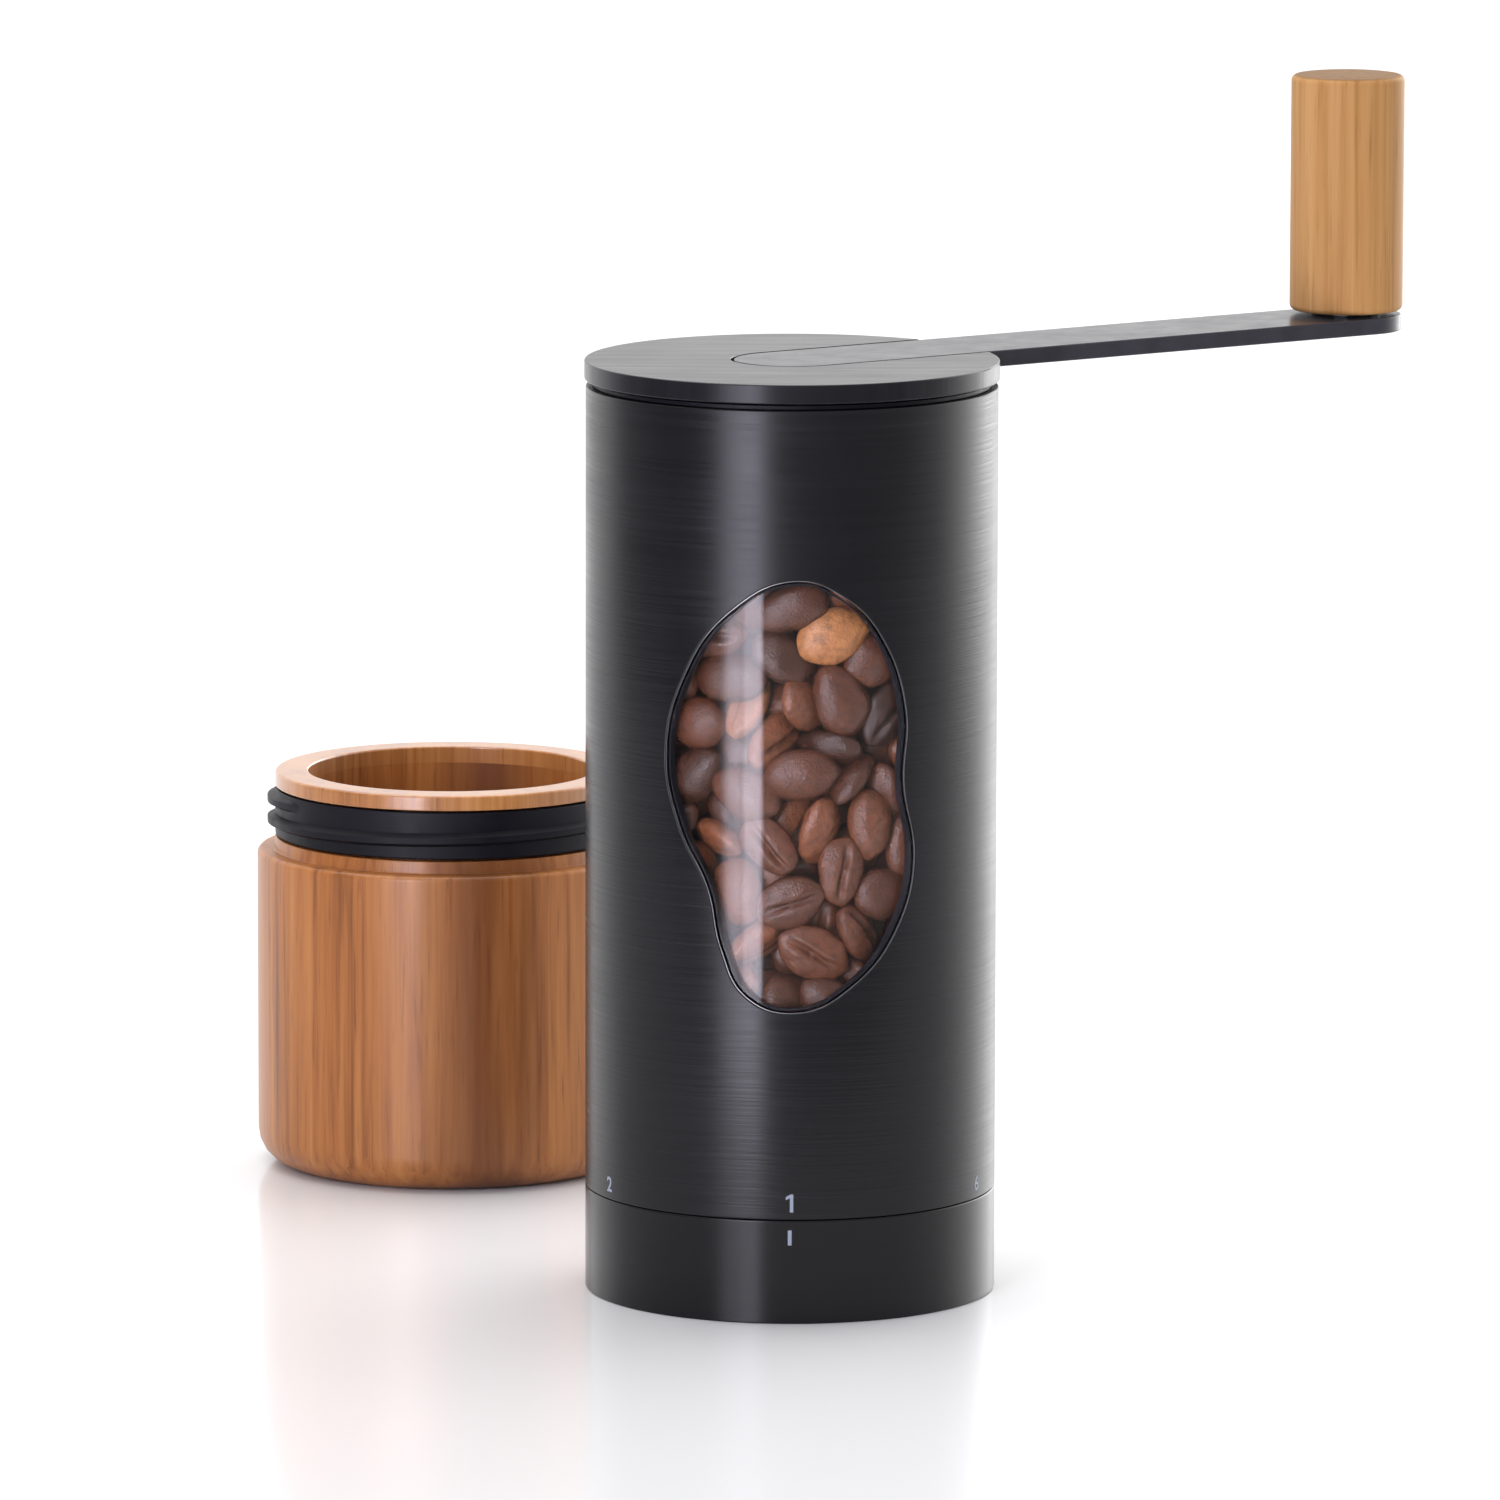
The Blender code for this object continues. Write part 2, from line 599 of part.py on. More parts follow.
def make_carrier():
    bore = BURR_RADIUS + FIT_GAP
    mouth = GRIND_RADIUS + FIT_GAP
    outline = [
        (CARRIER_RADIUS, CARRIER_TOP), (CARRIER_RADIUS, CARRIER_BOTTOM),
        (mouth, CARRIER_BOTTOM), (mouth, CARRIER_BOTTOM + CARRIER_FLOOR),
        (bore, CARRIER_BOTTOM + CARRIER_FLOOR), (bore, CARRIER_TOP),
    ]
    body = turned("burr_carrier", outline, BRASS, carrier, MEDIUM)
    key_bottom = GUIDE_BOTTOM + TURN_GAP
    for i in range(3):
        corners = [(bore + RUN_GAP, -KEY_WIDTH / 2), (CARRIER_RADIUS + KEY_DEPTH, -KEY_WIDTH / 2),
                   (CARRIER_RADIUS + KEY_DEPTH, KEY_WIDTH / 2), (bore + RUN_GAP, KEY_WIDTH / 2)]
        key = slab(f"carrier_key_{i + 1}", corners, key_bottom, key_bottom + KEY_HEIGHT)
        key.rotation_euler.z = math.radians(30.0 + 120.0 * i)
        cut(body, hide_as_cutter(key, carrier), "UNION")

    throat = GRIND_RADIUS - BURR_TAPER
    throat_height = BURR_BOTTOM + GRIND_HEIGHT
    burr = [
        (BURR_RADIUS, BURR_TOP), (BURR_RADIUS, BURR_BOTTOM), (GRIND_RADIUS, BURR_BOTTOM),
        (throat, throat_height), (throat + MOUTH_FLARE, BURR_TOP),
    ]
    turned("outer_burr", burr, BURR_STEEL, carrier, MEDIUM)


def toothed_cone(name, teeth, low_radius, high_radius, depth, bottom, top, lead):
    # A cone with saw teeth, which lean round by the lead angle from bottom to top.
    mesh = bpy.data.meshes.new(name)
    work = bmesh.new()
    bmesh.ops.create_cone(
        work, cap_ends=True, segments=3 * teeth, radius1=low_radius, radius2=high_radius,
        depth=top - bottom,
    )
    for vertex in work.verts:
        angle = math.atan2(vertex.co.y, vertex.co.x)
        step = round(angle / (2 * math.pi) * 3 * teeth) % 3
        radius = vertex.co.xy.length - depth * step / 2
        if vertex.co.z > 0:
            angle += lead
        vertex.co.x, vertex.co.y = polar(radius, angle)
        vertex.co.z += (bottom + top) / 2
    work.to_mesh(mesh)
    work.free()
    return bpy.data.objects.new(name, mesh)


def make_shaft():
    overlap = SHAFT_CLIP_THICKNESS
    burr_bottom = CARRIER_BOTTOM + CARRIER_FLOOR
    washer_top = burr_bottom - FIT_GAP
    washer_bottom = washer_top - WASHER_THICKNESS
    nut_top = washer_bottom - FIT_GAP
    nut_bottom = nut_top - NUT_HEIGHT
    round_top = SHAFT_CLIP_TOP + overlap
    round_bottom = BURR_TOP + FIT_GAP
    groove = SHAFT_RADIUS - SHAFT_CLIP_THICKNESS
    bar = [
        (0.0, round_top), (SHAFT_RADIUS, round_top), (SHAFT_RADIUS, SHAFT_CLIP_TOP + RUN_GAP),
        (groove, SHAFT_CLIP_TOP + RUN_GAP), (groove, SHAFT_CLIP_BOTTOM - RUN_GAP),
        (SHAFT_RADIUS, SHAFT_CLIP_BOTTOM - RUN_GAP), (SHAFT_RADIUS, round_bottom),
        (0.0, round_bottom),
    ]
    rod = turned("drive_shaft", bar, BRIGHT_STEEL, shaft, SMALL)
    drive_top = LID_BOTTOM - HUB_THICKNESS - FIT_GAP
    cut(rod, prism("upper_hex", 6, HEX_RADIUS, round_top - overlap / 2, drive_top, shaft), "UNION")
    cut(rod, prism("lower_hex", 6, HEX_RADIUS, nut_bottom - SHAFT_END,
                   round_bottom + overlap, shaft), "UNION")

    clip_bore = groove + FIT_GAP / 2
    split_ring("shaft_clip", SHAFT_CLIP_RADIUS, clip_bore, SHAFT_CLIP_BOTTOM, SHAFT_CLIP_TOP,
               SMALL, SPRING_STEEL, shaft)

    cone_low = GRIND_RADIUS - GRIND_GAP
    cone_high = cone_low - BURR_TAPER
    joint_height = burr_bottom + GRIND_HEIGHT
    burr = toothed_cone("inner_burr", BURR_TEETH, cone_low, cone_high, BURR_TOOTH,
                        burr_bottom, joint_height, math.radians(BURR_LEAD))
    place(burr, BURR_STEEL, shaft)
    breaker = toothed_cone("breaker_cone", BREAKER_TEETH, cone_high - FIT_GAP,
                           BREAKER_TOP_RADIUS, BREAKER_TOOTH,
                           joint_height - BREAKER_SINK, BURR_TOP,
                           math.radians(BREAKER_LEAD))
    cut(burr, hide_as_cutter(breaker, shaft), "UNION")
    cut(burr, prism("burr_bore", 6, HEX_SOCKET_RADIUS, burr_bottom - WASHER_THICKNESS,
                    BURR_TOP + WASHER_THICKNESS, shaft))

    turned("burr_washer", sleeve(WASHER_RADIUS, BUSH_BORE, washer_bottom, washer_top),
           BRIGHT_STEEL, shaft, SMALL)
    nut_radius = NUT_FLATS / 2 / math.cos(math.pi / 6)
    nut = place(plain_bar("burr_nut", 6, nut_radius, nut_bottom, nut_top), BRASS, shaft)
    cut(nut, prism("nut_bore", SMALL, BUSH_BORE, nut_bottom - SHAFT_END, nut_top + SHAFT_END,
                   shaft))
    make_spring(BURR_TOP + FIT_GAP, LOWER_BRIDGE_BOTTOM - FIT_GAP)


def make_spring(bottom, top):
    # The preload spring that pushes the inner burr down onto its nut.
    coil_radius = SHAFT_RADIUS + FIT_GAP + SPRING_WIRE / 2
    first = bottom + SPRING_WIRE / 2
    climb = top - bottom - SPRING_WIRE
    count = SMALL * SPRING_COILS
    curve = bpy.data.curves.new("preload_spring", "CURVE")
    curve.dimensions = "3D"
    curve.bevel_depth = SPRING_WIRE / 2
    curve.bevel_resolution = 2
    curve.use_fill_caps = True
    spline = curve.splines.new("POLY")
    spline.points.add(count)
    for i, point in enumerate(spline.points):
        x, y = polar(coil_radius, 2 * math.pi * i / SMALL)
        point.co = (x, y, first + climb * i / count, 1.0)
    place(bpy.data.objects.new("preload_spring", curve), SPRING_STEEL, shaft)


def split_ring(name, outer, inner, bottom, top, facets, material, parent):
    clip = turned(name, sleeve(outer, inner, bottom, top), material, parent, facets)
    half = math.radians(CLIP_OPENING / 2)
    reach = outer * 1.2
    wedge = [(0.0, 0.0), (reach * math.cos(half), -reach * math.sin(half)),
             (reach * math.cos(half), reach * math.sin(half))]
    opening = slab(f"{name}_opening", wedge, bottom - FIT_GAP, top + FIT_GAP)
    cut(clip, hide_as_cutter(opening, parent))
    return clip


def make_ring():
    c = EDGE_CHAMFER
    outline = [
        (BODY_RADIUS - c, RING_HEIGHT), (BODY_RADIUS, RING_HEIGHT - c), (BODY_RADIUS, c),
        (BODY_RADIUS - c, 0.0), (SOCKET_RADIUS, 0.0), (SOCKET_RADIUS, RING_HEIGHT),
    ]
    body = turned("adjusting_ring", outline, BLACK_STEEL, ring)
    thread_start = THREAD_PITCH / 2 + THREAD_BASE / 2
    ridge = helix_ridge("socket_thread", SOCKET_RADIUS - THREAD_HEIGHT + THREAD_GAP,
                        SOCKET_RADIUS + THREAD_SINK, False, thread_start, ring)
    cut(body, ridge, "UNION")

    groove_low = CLIP_BOTTOM - RUN_GAP
    groove_high = CLIP_TOP + RUN_GAP
    groove = NUT_HUB_RADIUS - GROOVE_DEPTH
    nut = [
        (NUT_HUB_RADIUS, NUT_HUB_TOP), (NUT_HUB_RADIUS, groove_high), (groove, groove_high),
        (groove, groove_low), (NUT_HUB_RADIUS, groove_low), (NUT_HUB_RADIUS, NUT_TOP),
        (NUT_RADIUS, NUT_TOP), (NUT_RADIUS, SOCKET_ROOF), (NUT_BORE, SOCKET_ROOF),
        (NUT_BORE, NUT_HUB_TOP),
    ]
    turned("adjusting_nut", nut, BRASS, ring, MEDIUM)
    split_ring("ring_clip", LIP_BORE + CLIP_HOLD, groove + FIT_GAP, CLIP_BOTTOM, CLIP_TOP,
               MEDIUM, SPRING_STEEL, ring)


def arm_outline(half_width, end_radius, reach, steps=12):
    # A bar from the grinder's axis to the reach, with both ends round.
    turn = math.degrees(CRANK)
    x, y = polar(reach, CRANK)
    outline = arc(half_width, turn + 90.0, turn + 270.0, steps)
    return outline + arc(end_radius, turn - 90.0, turn + 90.0, steps, x, y)


def make_lid():
    c = EDGE_CHAMFER
    outline = [
        (0.0, LID_TOP), (LID_RADIUS - c, LID_TOP), (LID_RADIUS, LID_TOP - c),
        (LID_RADIUS, LID_BOTTOM + c), (LID_RADIUS - c, LID_BOTTOM), (0.0, LID_BOTTOM),
    ]
    plate = turned("lid_plate", outline, BLACK_STEEL, lid)
    slot_half = ARM_HALF_WIDTH + SLOT_GAP
    slot = slab("lid_slot", arm_outline(slot_half, slot_half, 2 * LID_RADIUS),
                LID_BOTTOM - c, LID_TOP + c)
    cut(plate, hide_as_cutter(slot, lid))

    arm = slab("crank_arm", arm_outline(ARM_HALF_WIDTH, ARM_END_RADIUS, CRANK_RADIUS),
               ARM_BOTTOM, LID_TOP)
    place(arm, BLACK_STEEL, lid)
    for polygon in arm.data.polygons:
        polygon.use_smooth = True
    arm.data.set_sharp_from_angle(angle=math.radians(30.0))
    cut(arm, prism("axle_hole", SMALL, AXLE_RADIUS + FIT_GAP, ARM_BOTTOM - c, LID_TOP + c,
                   lid, KNOB_X, KNOB_Y))
    cut(arm, prism("axle_head_room", SMALL, AXLE_HEAD_RADIUS + FIT_GAP,
                   ARM_BOTTOM - AXLE_HEAD, ARM_BOTTOM + AXLE_HEAD + FIT_GAP, lid,
                   KNOB_X, KNOB_Y))

    hub_radius = COLLAR_BORE - 2 * TURN_GAP
    hub_outline = [
        (0.0, HUB_TOP), (hub_radius, HUB_TOP), (hub_radius, HUB_BOTTOM),
        (BOSS_RADIUS, HUB_BOTTOM), (BOSS_RADIUS, BOSS_BOTTOM), (0.0, BOSS_BOTTOM),
    ]
    hub = turned("lid_hub", hub_outline, BLACK_PLASTIC, lid)
    seat_reach = hub_radius - ARM_HALF_WIDTH
    seat = slab("arm_seat", arm_outline(ARM_HALF_WIDTH - c, ARM_HALF_WIDTH - c, seat_reach, 8),
                HUB_TOP - FIT_GAP, ARM_BOTTOM - FIT_GAP)
    cut(hub, hide_as_cutter(seat, lid), "UNION")
    cut(hub, prism("drive_socket", 6, HEX_SOCKET_RADIUS, BOSS_BOTTOM - FIT_GAP, HUB_BOTTOM,
                   lid))

    head_end = HUB_BOTTOM - FIT_GAP - SCREW_HEAD
    for i, reach in enumerate((BOSS_RADIUS + 2 * SCREW_HEAD_RADIUS, seat_reach)):
        x, y = polar(reach, CRANK)
        room = screw(f"arm_screw_{i + 1}", x, y, head_end, ARM_BOTTOM + SCREW_BITE, lid)
        cut(hub, room)
        cut(arm, room)
    for i in range(3):
        x, y = polar(seat_reach + SCREW_HEAD_RADIUS, CRANK + math.pi / 2 * (i + 1))
        room = screw(f"lid_screw_{i + 1}", x, y, head_end, LID_BOTTOM + SCREW_BITE, lid)
        cut(hub, room)
        cut(plate, room)


def make_knob():
    bore = AXLE_RADIUS + RUN_GAP
    insert_radius = bore + INSERT_WALL
    flange_radius = insert_radius + INSERT_FLANGE
    insert_bottom = KNOB_BOTTOM + RUN_GAP
    wood_bore_top = KNOB_TOP - KNOB_ROOF
    insert_top = wood_bore_top - 3 * INSERT_FLANGE
    clip_bottom = insert_top + FIT_GAP
    clip_top = clip_bottom + SHAFT_CLIP_THICKNESS
    axle_top = clip_top + SHAFT_CLIP_THICKNESS
    groove = AXLE_RADIUS - SHAFT_CLIP_THICKNESS / 2
    head_bottom = ARM_BOTTOM + RUN_GAP
    axle = [
        (0.0, axle_top), (AXLE_RADIUS, axle_top), (AXLE_RADIUS, clip_top + RUN_GAP),
        (groove, clip_top + RUN_GAP), (groove, clip_bottom - RUN_GAP),
        (AXLE_RADIUS, clip_bottom - RUN_GAP), (AXLE_RADIUS, head_bottom + AXLE_HEAD),
        (AXLE_HEAD_RADIUS, head_bottom + AXLE_HEAD), (AXLE_HEAD_RADIUS, head_bottom),
        (0.0, head_bottom),
    ]
    turned("knob_axle", axle, BRIGHT_STEEL, lid, SMALL, KNOB_X, KNOB_Y)
    clip = split_ring("axle_clip", insert_radius - RUN_GAP, groove + FIT_GAP / 2, clip_bottom,
                      clip_top, SMALL, SPRING_STEEL, lid)
    clip.location = (KNOB_X, KNOB_Y, 0.0)
    for modifier in clip.modifiers:
        if modifier.type == "BOOLEAN":
            modifier.object.location = (KNOB_X, KNOB_Y, modifier.object.location.z)
    turned("knob_washer", sleeve(flange_radius, bore, LID_TOP + RUN_GAP,
                                 KNOB_BOTTOM - RUN_GAP),
           BLACK_PLASTIC, lid, SMALL, KNOB_X, KNOB_Y)

    insert = [
        (insert_radius, insert_top), (insert_radius, insert_bottom + INSERT_FLANGE),
        (flange_radius, insert_bottom + INSERT_FLANGE), (flange_radius, insert_bottom),
        (bore, insert_bottom), (bore, insert_top),
    ]
    turned("knob_insert", insert, BRASS, knob, SMALL)

    r = KNOB_ROUNDING
    side = KNOB_RADIUS - r
    wood = [(0.0, KNOB_TOP)]
    wood += [(side + x, KNOB_TOP - r + z) for x, z in arc(r, 90.0, 0.0, 3)]
    wood += [(side + x, KNOB_BOTTOM + r + z) for x, z in arc(r, 0.0, -90.0, 3)]
    recess = flange_radius + FIT_GAP
    recess_top = insert_bottom + INSERT_FLANGE + FIT_GAP
    socket = insert_radius + FIT_GAP
    wood += [(recess, KNOB_BOTTOM), (recess, recess_top), (socket, recess_top),
             (socket, wood_bore_top), (0.0, wood_bore_top)]
    turned("knob_grip", wood, WOOD, knob, 2 * SMALL)


def make_jar():
    neck_height = SOCKET_ROOF - NECK_CLEARANCE
    shoulder = JAR_HEIGHT - neck_height
    collar_bottom = JAR_HEIGHT - RIM_HEIGHT - FIT_GAP - COLLAR_HEIGHT
    collar_top = collar_bottom + COLLAR_HEIGHT
    neck_radius = JAR_MOUTH + NECK_WALL
    band_top = collar_bottom - FIT_GAP
    fillet = JAR_BASE_FILLET
    cove = JAR_WALL_ROUNDING
    edge = JAR_SHOULDER_ROUNDING
    outline = [(neck_radius, collar_top), (neck_radius, band_top), (COLLAR_RADIUS, band_top),
               (COLLAR_RADIUS, shoulder)]
    outline += [(JAR_RADIUS - edge + x, shoulder - edge + z)
                for x, z in arc(edge, 90.0, 0.0, 1)]
    outline += [(JAR_RADIUS - fillet + x, fillet + z) for x, z in arc(fillet, 0.0, -90.0, 4)]
    outline.append((0.0, 0.0))
    outline.append((0.0, JAR_FLOOR))
    outline += [(JAR_MOUTH - cove + x, JAR_FLOOR + cove + z)
                for x, z in arc(cove, -90.0, 0.0, 3)]
    outline.append((JAR_MOUTH, collar_top))
    # The outline starts and ends on the axis, so it is turned from the inside floor round.
    start = outline.index((0.0, JAR_FLOOR))
    outline = outline[start:] + outline[:start]
    turned("jar_cup", outline, WOOD, jar)

    collar = turned("thread_collar",
                    sleeve(COLLAR_RADIUS, neck_radius + FIT_GAP, collar_bottom, collar_top),
                    BLACK_PLASTIC, jar)
    ridge = helix_ridge("collar_thread", COLLAR_RADIUS - THREAD_SINK, THREAD_RADIUS, True,
                        collar_bottom + THREAD_BASE / 2 + FIT_GAP, jar, math.radians(-120.0))
    cut(collar, ridge, "UNION")

    rim_bottom = collar_top + FIT_GAP
    r = RIM_ROUNDING
    rim = [(COLLAR_RADIUS - r + x, JAR_HEIGHT - r + z) for x, z in arc(r, 90.0, 0.0, 2)]
    rim += [(COLLAR_RADIUS, rim_bottom), (JAR_MOUTH, rim_bottom)]
    rim += [(JAR_MOUTH + r / 2 - x, JAR_HEIGHT - r / 2 + z)
            for x, z in arc(r / 2, 0.0, 90.0, 1)]
    turned("jar_rim", rim, PALE_WOOD, jar)


make_body()
make_hopper()
make_burr_housing()
make_carrier()
make_ring()
make_shaft()
make_lid()
make_knob()
make_jar()
bpy.context.view_layer.update()
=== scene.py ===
import math

import bmesh
import bpy
import numpy as np
from mathutils import Matrix, Vector


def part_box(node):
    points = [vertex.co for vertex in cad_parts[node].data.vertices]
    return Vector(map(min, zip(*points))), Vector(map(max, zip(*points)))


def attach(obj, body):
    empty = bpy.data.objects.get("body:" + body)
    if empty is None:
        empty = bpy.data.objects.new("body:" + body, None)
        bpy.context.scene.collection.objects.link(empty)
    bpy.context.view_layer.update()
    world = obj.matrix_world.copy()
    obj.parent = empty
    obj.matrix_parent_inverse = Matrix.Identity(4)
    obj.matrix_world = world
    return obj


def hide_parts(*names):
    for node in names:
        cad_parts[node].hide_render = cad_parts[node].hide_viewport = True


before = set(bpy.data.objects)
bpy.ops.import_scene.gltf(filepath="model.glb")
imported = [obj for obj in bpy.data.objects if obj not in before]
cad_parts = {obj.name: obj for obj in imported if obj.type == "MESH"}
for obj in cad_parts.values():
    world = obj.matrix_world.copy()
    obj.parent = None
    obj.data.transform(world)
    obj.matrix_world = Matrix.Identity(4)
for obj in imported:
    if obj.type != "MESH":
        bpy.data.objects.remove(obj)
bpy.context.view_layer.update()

print("frame loaded", len(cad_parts), "nodes")

mm = 0.001
scene = bpy.context.scene


def middle(node):
    low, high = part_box(node)
    return (low + high) / 2


# Axes of the grinder, the jar and the knob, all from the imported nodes
bodyLow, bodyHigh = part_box("body_tube")
bodyRadius = (bodyHigh.x - bodyLow.x) / 2
grinderAxis = middle("body_tube").xy
jarAxis = middle("jar_rim").xy
knobAxis = middle("knob_grip").xy
crank = (knobAxis - grinderAxis).normalized()
crankSide = Vector((-crank.y, crank.x))


# Mesh tools

def roundCorners(corners, steps=5):
    # corners are (radius, height, rounding), in order round a closed outline
    points = []
    for i, (x, z, rounding) in enumerate(corners):
        here = Vector((x, z))
        if rounding <= 0:
            points.append(here)
            continue
        before = (Vector(corners[i - 1][:2]) - here).normalized()
        after = (Vector(corners[(i + 1) % len(corners)][:2]) - here).normalized()
        half = before.angle(after) / 2
        centre = here + (before + after).normalized() * (rounding / math.sin(half))
        start = here + before * (rounding / math.tan(half)) - centre
        end = here + after * (rounding / math.tan(half)) - centre
        for step in range(steps + 1):
            points.append(centre + start.slerp(end, step / steps).normalized() * rounding)
    return points


def addObject(name, mesh):
    piece = bpy.data.objects.new(name, mesh)
    scene.collection.objects.link(piece)
    return piece


def meshOf(name, points, faces):
    mesh = bpy.data.meshes.new(name)
    mesh.from_pydata([tuple(p) for p in points], [], faces)
    work = bmesh.new()
    work.from_mesh(mesh)
    bmesh.ops.recalc_face_normals(work, faces=work.faces)
    work.to_mesh(mesh)
    work.free()
    return mesh


def lathe(name, corners, axis, steps=192):
    # turns an outline about a vertical axis; points on the axis become one point
    outline = roundCorners(corners)
    points = []
    rings = []
    for point in outline:
        if point.x < 1e-7:
            rings.append([len(points)] * steps)
            points.append((axis.x, axis.y, point.y))
            continue
        rings.append(list(range(len(points), len(points) + steps)))
        for k in range(steps):
            angle = 2 * math.pi * k / steps
            points.append((axis.x + point.x * math.cos(angle),
                           axis.y + point.x * math.sin(angle), point.y))
    faces = []
    for i, low in enumerate(rings):
        high = rings[(i + 1) % len(rings)]
        if low[0] == low[1] and high[0] == high[1]:
            continue
        for k in range(steps):
            m = (k + 1) % steps
            face = [low[k], low[m], high[m], high[k]]
            faces.append(list(dict.fromkeys(face)))
    return addObject(name, meshOf(name, points, faces))


def shade(piece, sharp=35.0, weighted=True):
    piece.data.shade_smooth()
    piece.data.set_sharp_from_angle(angle=math.radians(sharp))
    if weighted:
        flatten = piece.modifiers.new("normals", "WEIGHTED_NORMAL")
        flatten.keep_sharp = True
    return piece


def carve(piece, cutter, operation="DIFFERENCE"):
    boolean = piece.modifiers.new("carve", "BOOLEAN")
    boolean.operation = operation
    boolean.solver = "EXACT"
    boolean.object = cutter
    bpy.context.view_layer.update()
    graph = bpy.context.evaluated_depsgraph_get()
    mesh = bpy.data.meshes.new_from_object(piece.evaluated_get(graph))
    piece.modifiers.clear()
    piece.data = mesh
    bpy.data.objects.remove(cutter)
    return piece


def slab(name, outline, bottom, top, rounding=0.0, steps=4):
    # a flat outline given thickness, with both its rims rounded inwards
    count = len(outline)
    layers = [(bottom, 0.0), (top, 0.0)]
    if rounding > 0:
        turns = [math.pi / 2 * i / steps for i in range(steps + 1)]
        layers = [(bottom + rounding * (1 - math.sin(t)), rounding * (1 - math.cos(t)))
                  for t in reversed(turns)]
        layers += [(top - rounding * (1 - math.sin(t)), rounding * (1 - math.cos(t)))
                   for t in turns]
    points = []
    for height, inset in layers:
        for i in range(count):
            before = Vector(outline[i - 1])
            here = Vector(outline[i])
            after = Vector(outline[(i + 1) % count])
            along = (after - before).normalized()
            inward = Vector((-along.y, along.x))
            spot = here + inward * inset
            points.append((spot.x, spot.y, height))
    faces = [list(range(count))[::-1], [count * (len(layers) - 1) + i for i in range(count)]]
    for layer in range(len(layers) - 1):
        for i in range(count):
            j = (i + 1) % count
            a = layer * count
            faces.append([a + i, a + j, a + count + j, a + count + i])
    return addObject(name, meshOf(name, points, faces))


def own(piece, body, nodes, look):
    # hands a remade piece to its CAD body, in place of the CAD nodes it stands for
    piece.data.materials.clear()
    piece.data.materials.append(look)
    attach(piece, body)
    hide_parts(*nodes)
    return piece


# Materials

class Look:   # a Principled material with short ways to add procedural detail
    def __init__(self, name, **values):
        self.material = bpy.data.materials.new(name)
        self.material.use_nodes = True
        self.tree = self.material.node_tree
        self.shader = self.tree.nodes["Principled BSDF"]
        self.coordinate = self.add("ShaderNodeTexCoord").outputs["Object"]
        for key, value in values.items():
            self.shader.inputs[key.replace("_", " ")].default_value = value

    def add(self, kind):
        return self.tree.nodes.new(kind)

    def join(self, source, target):
        self.tree.links.new(source, target)

    def noise(self, scale, detail=2.0, roughness=0.5, distortion=0.0):
        # scale is the number of spots a metre along X, Y and Z
        mapping = self.add("ShaderNodeMapping")
        mapping.inputs["Scale"].default_value = scale
        self.join(self.coordinate, mapping.inputs["Vector"])
        texture = self.add("ShaderNodeTexNoise")
        texture.inputs["Scale"].default_value = 1.0
        texture.inputs["Detail"].default_value = detail
        texture.inputs["Roughness"].default_value = roughness
        texture.inputs["Distortion"].default_value = distortion
        self.join(mapping.outputs["Vector"], texture.inputs["Vector"])
        return texture.outputs["Fac"]

    def ramp(self, source, stops):
        node = self.add("ShaderNodeValToRGB")
        elements = node.color_ramp.elements
        while len(elements) < len(stops):
            elements.new(0.5)
        for element, (place, colour) in zip(elements, stops):
            element.position = place
            element.color = (*colour, 1.0)
        self.join(source, node.inputs["Fac"])
        return node.outputs["Color"]

    def spread(self, source, low, high, fromLow=0.3, fromHigh=0.7):
        node = self.add("ShaderNodeMapRange")
        node.inputs["From Min"].default_value = fromLow
        node.inputs["From Max"].default_value = fromHigh
        node.inputs["To Min"].default_value = low
        node.inputs["To Max"].default_value = high
        self.join(source, node.inputs["Value"])
        return node.outputs["Result"]

    def sum(self, first, second, share):
        # a mix of two values, with that share of the second
        node = self.add("ShaderNodeMix")
        node.inputs["Factor"].default_value = share
        self.join(first, node.inputs["A"])
        self.join(second, node.inputs["B"])
        return node.outputs["Result"]

    def blend(self, factor, first, second):
        node = self.add("ShaderNodeMix")
        node.data_type = "RGBA"
        self.join(factor, node.inputs["Factor"])
        for source, name in ((first, "A"), (second, "B")):
            socket = [s for s in node.inputs if s.name == name and s.type == "RGBA"][0]
            if isinstance(source, tuple):
                socket.default_value = (*source, 1.0)
            else:
                self.join(source, socket)
        return [s for s in node.outputs if s.type == "RGBA"][0]

    def math(self, operation, *values):
        node = self.add("ShaderNodeMath")
        node.operation = operation
        for socket, value in zip(node.inputs, values):
            if isinstance(value, (int, float)):
                socket.default_value = value
            else:
                self.join(value, socket)
        return node.outputs["Value"]

    def part(self, letter):
        # one coordinate of the point being coloured
        node = self.add("ShaderNodeSeparateXYZ")
        self.join(self.coordinate, node.inputs["Vector"])
        return node.outputs[letter]

    def colour(self, source):
        self.join(source, self.shader.inputs["Base Color"])

    def roughness(self, source):
        self.join(source, self.shader.inputs["Roughness"])

    def bump(self, source, distance, strength=1.0):
        node = self.add("ShaderNodeBump")
        node.inputs["Strength"].default_value = strength
        node.inputs["Distance"].default_value = distance
        self.join(source, node.inputs["Height"])
        self.join(node.outputs["Normal"], self.shader.inputs["Normal"])


coatValues = {"anisotropy": 0.6, "cloudScale": (60, 60, 60), "cloudShare": 0.35,
              "dark": (0.8, 0.76, 0.95), "light": (1.3, 1.24, 1.55),   # shares of the tone
              "bump": 0.024 * mm}


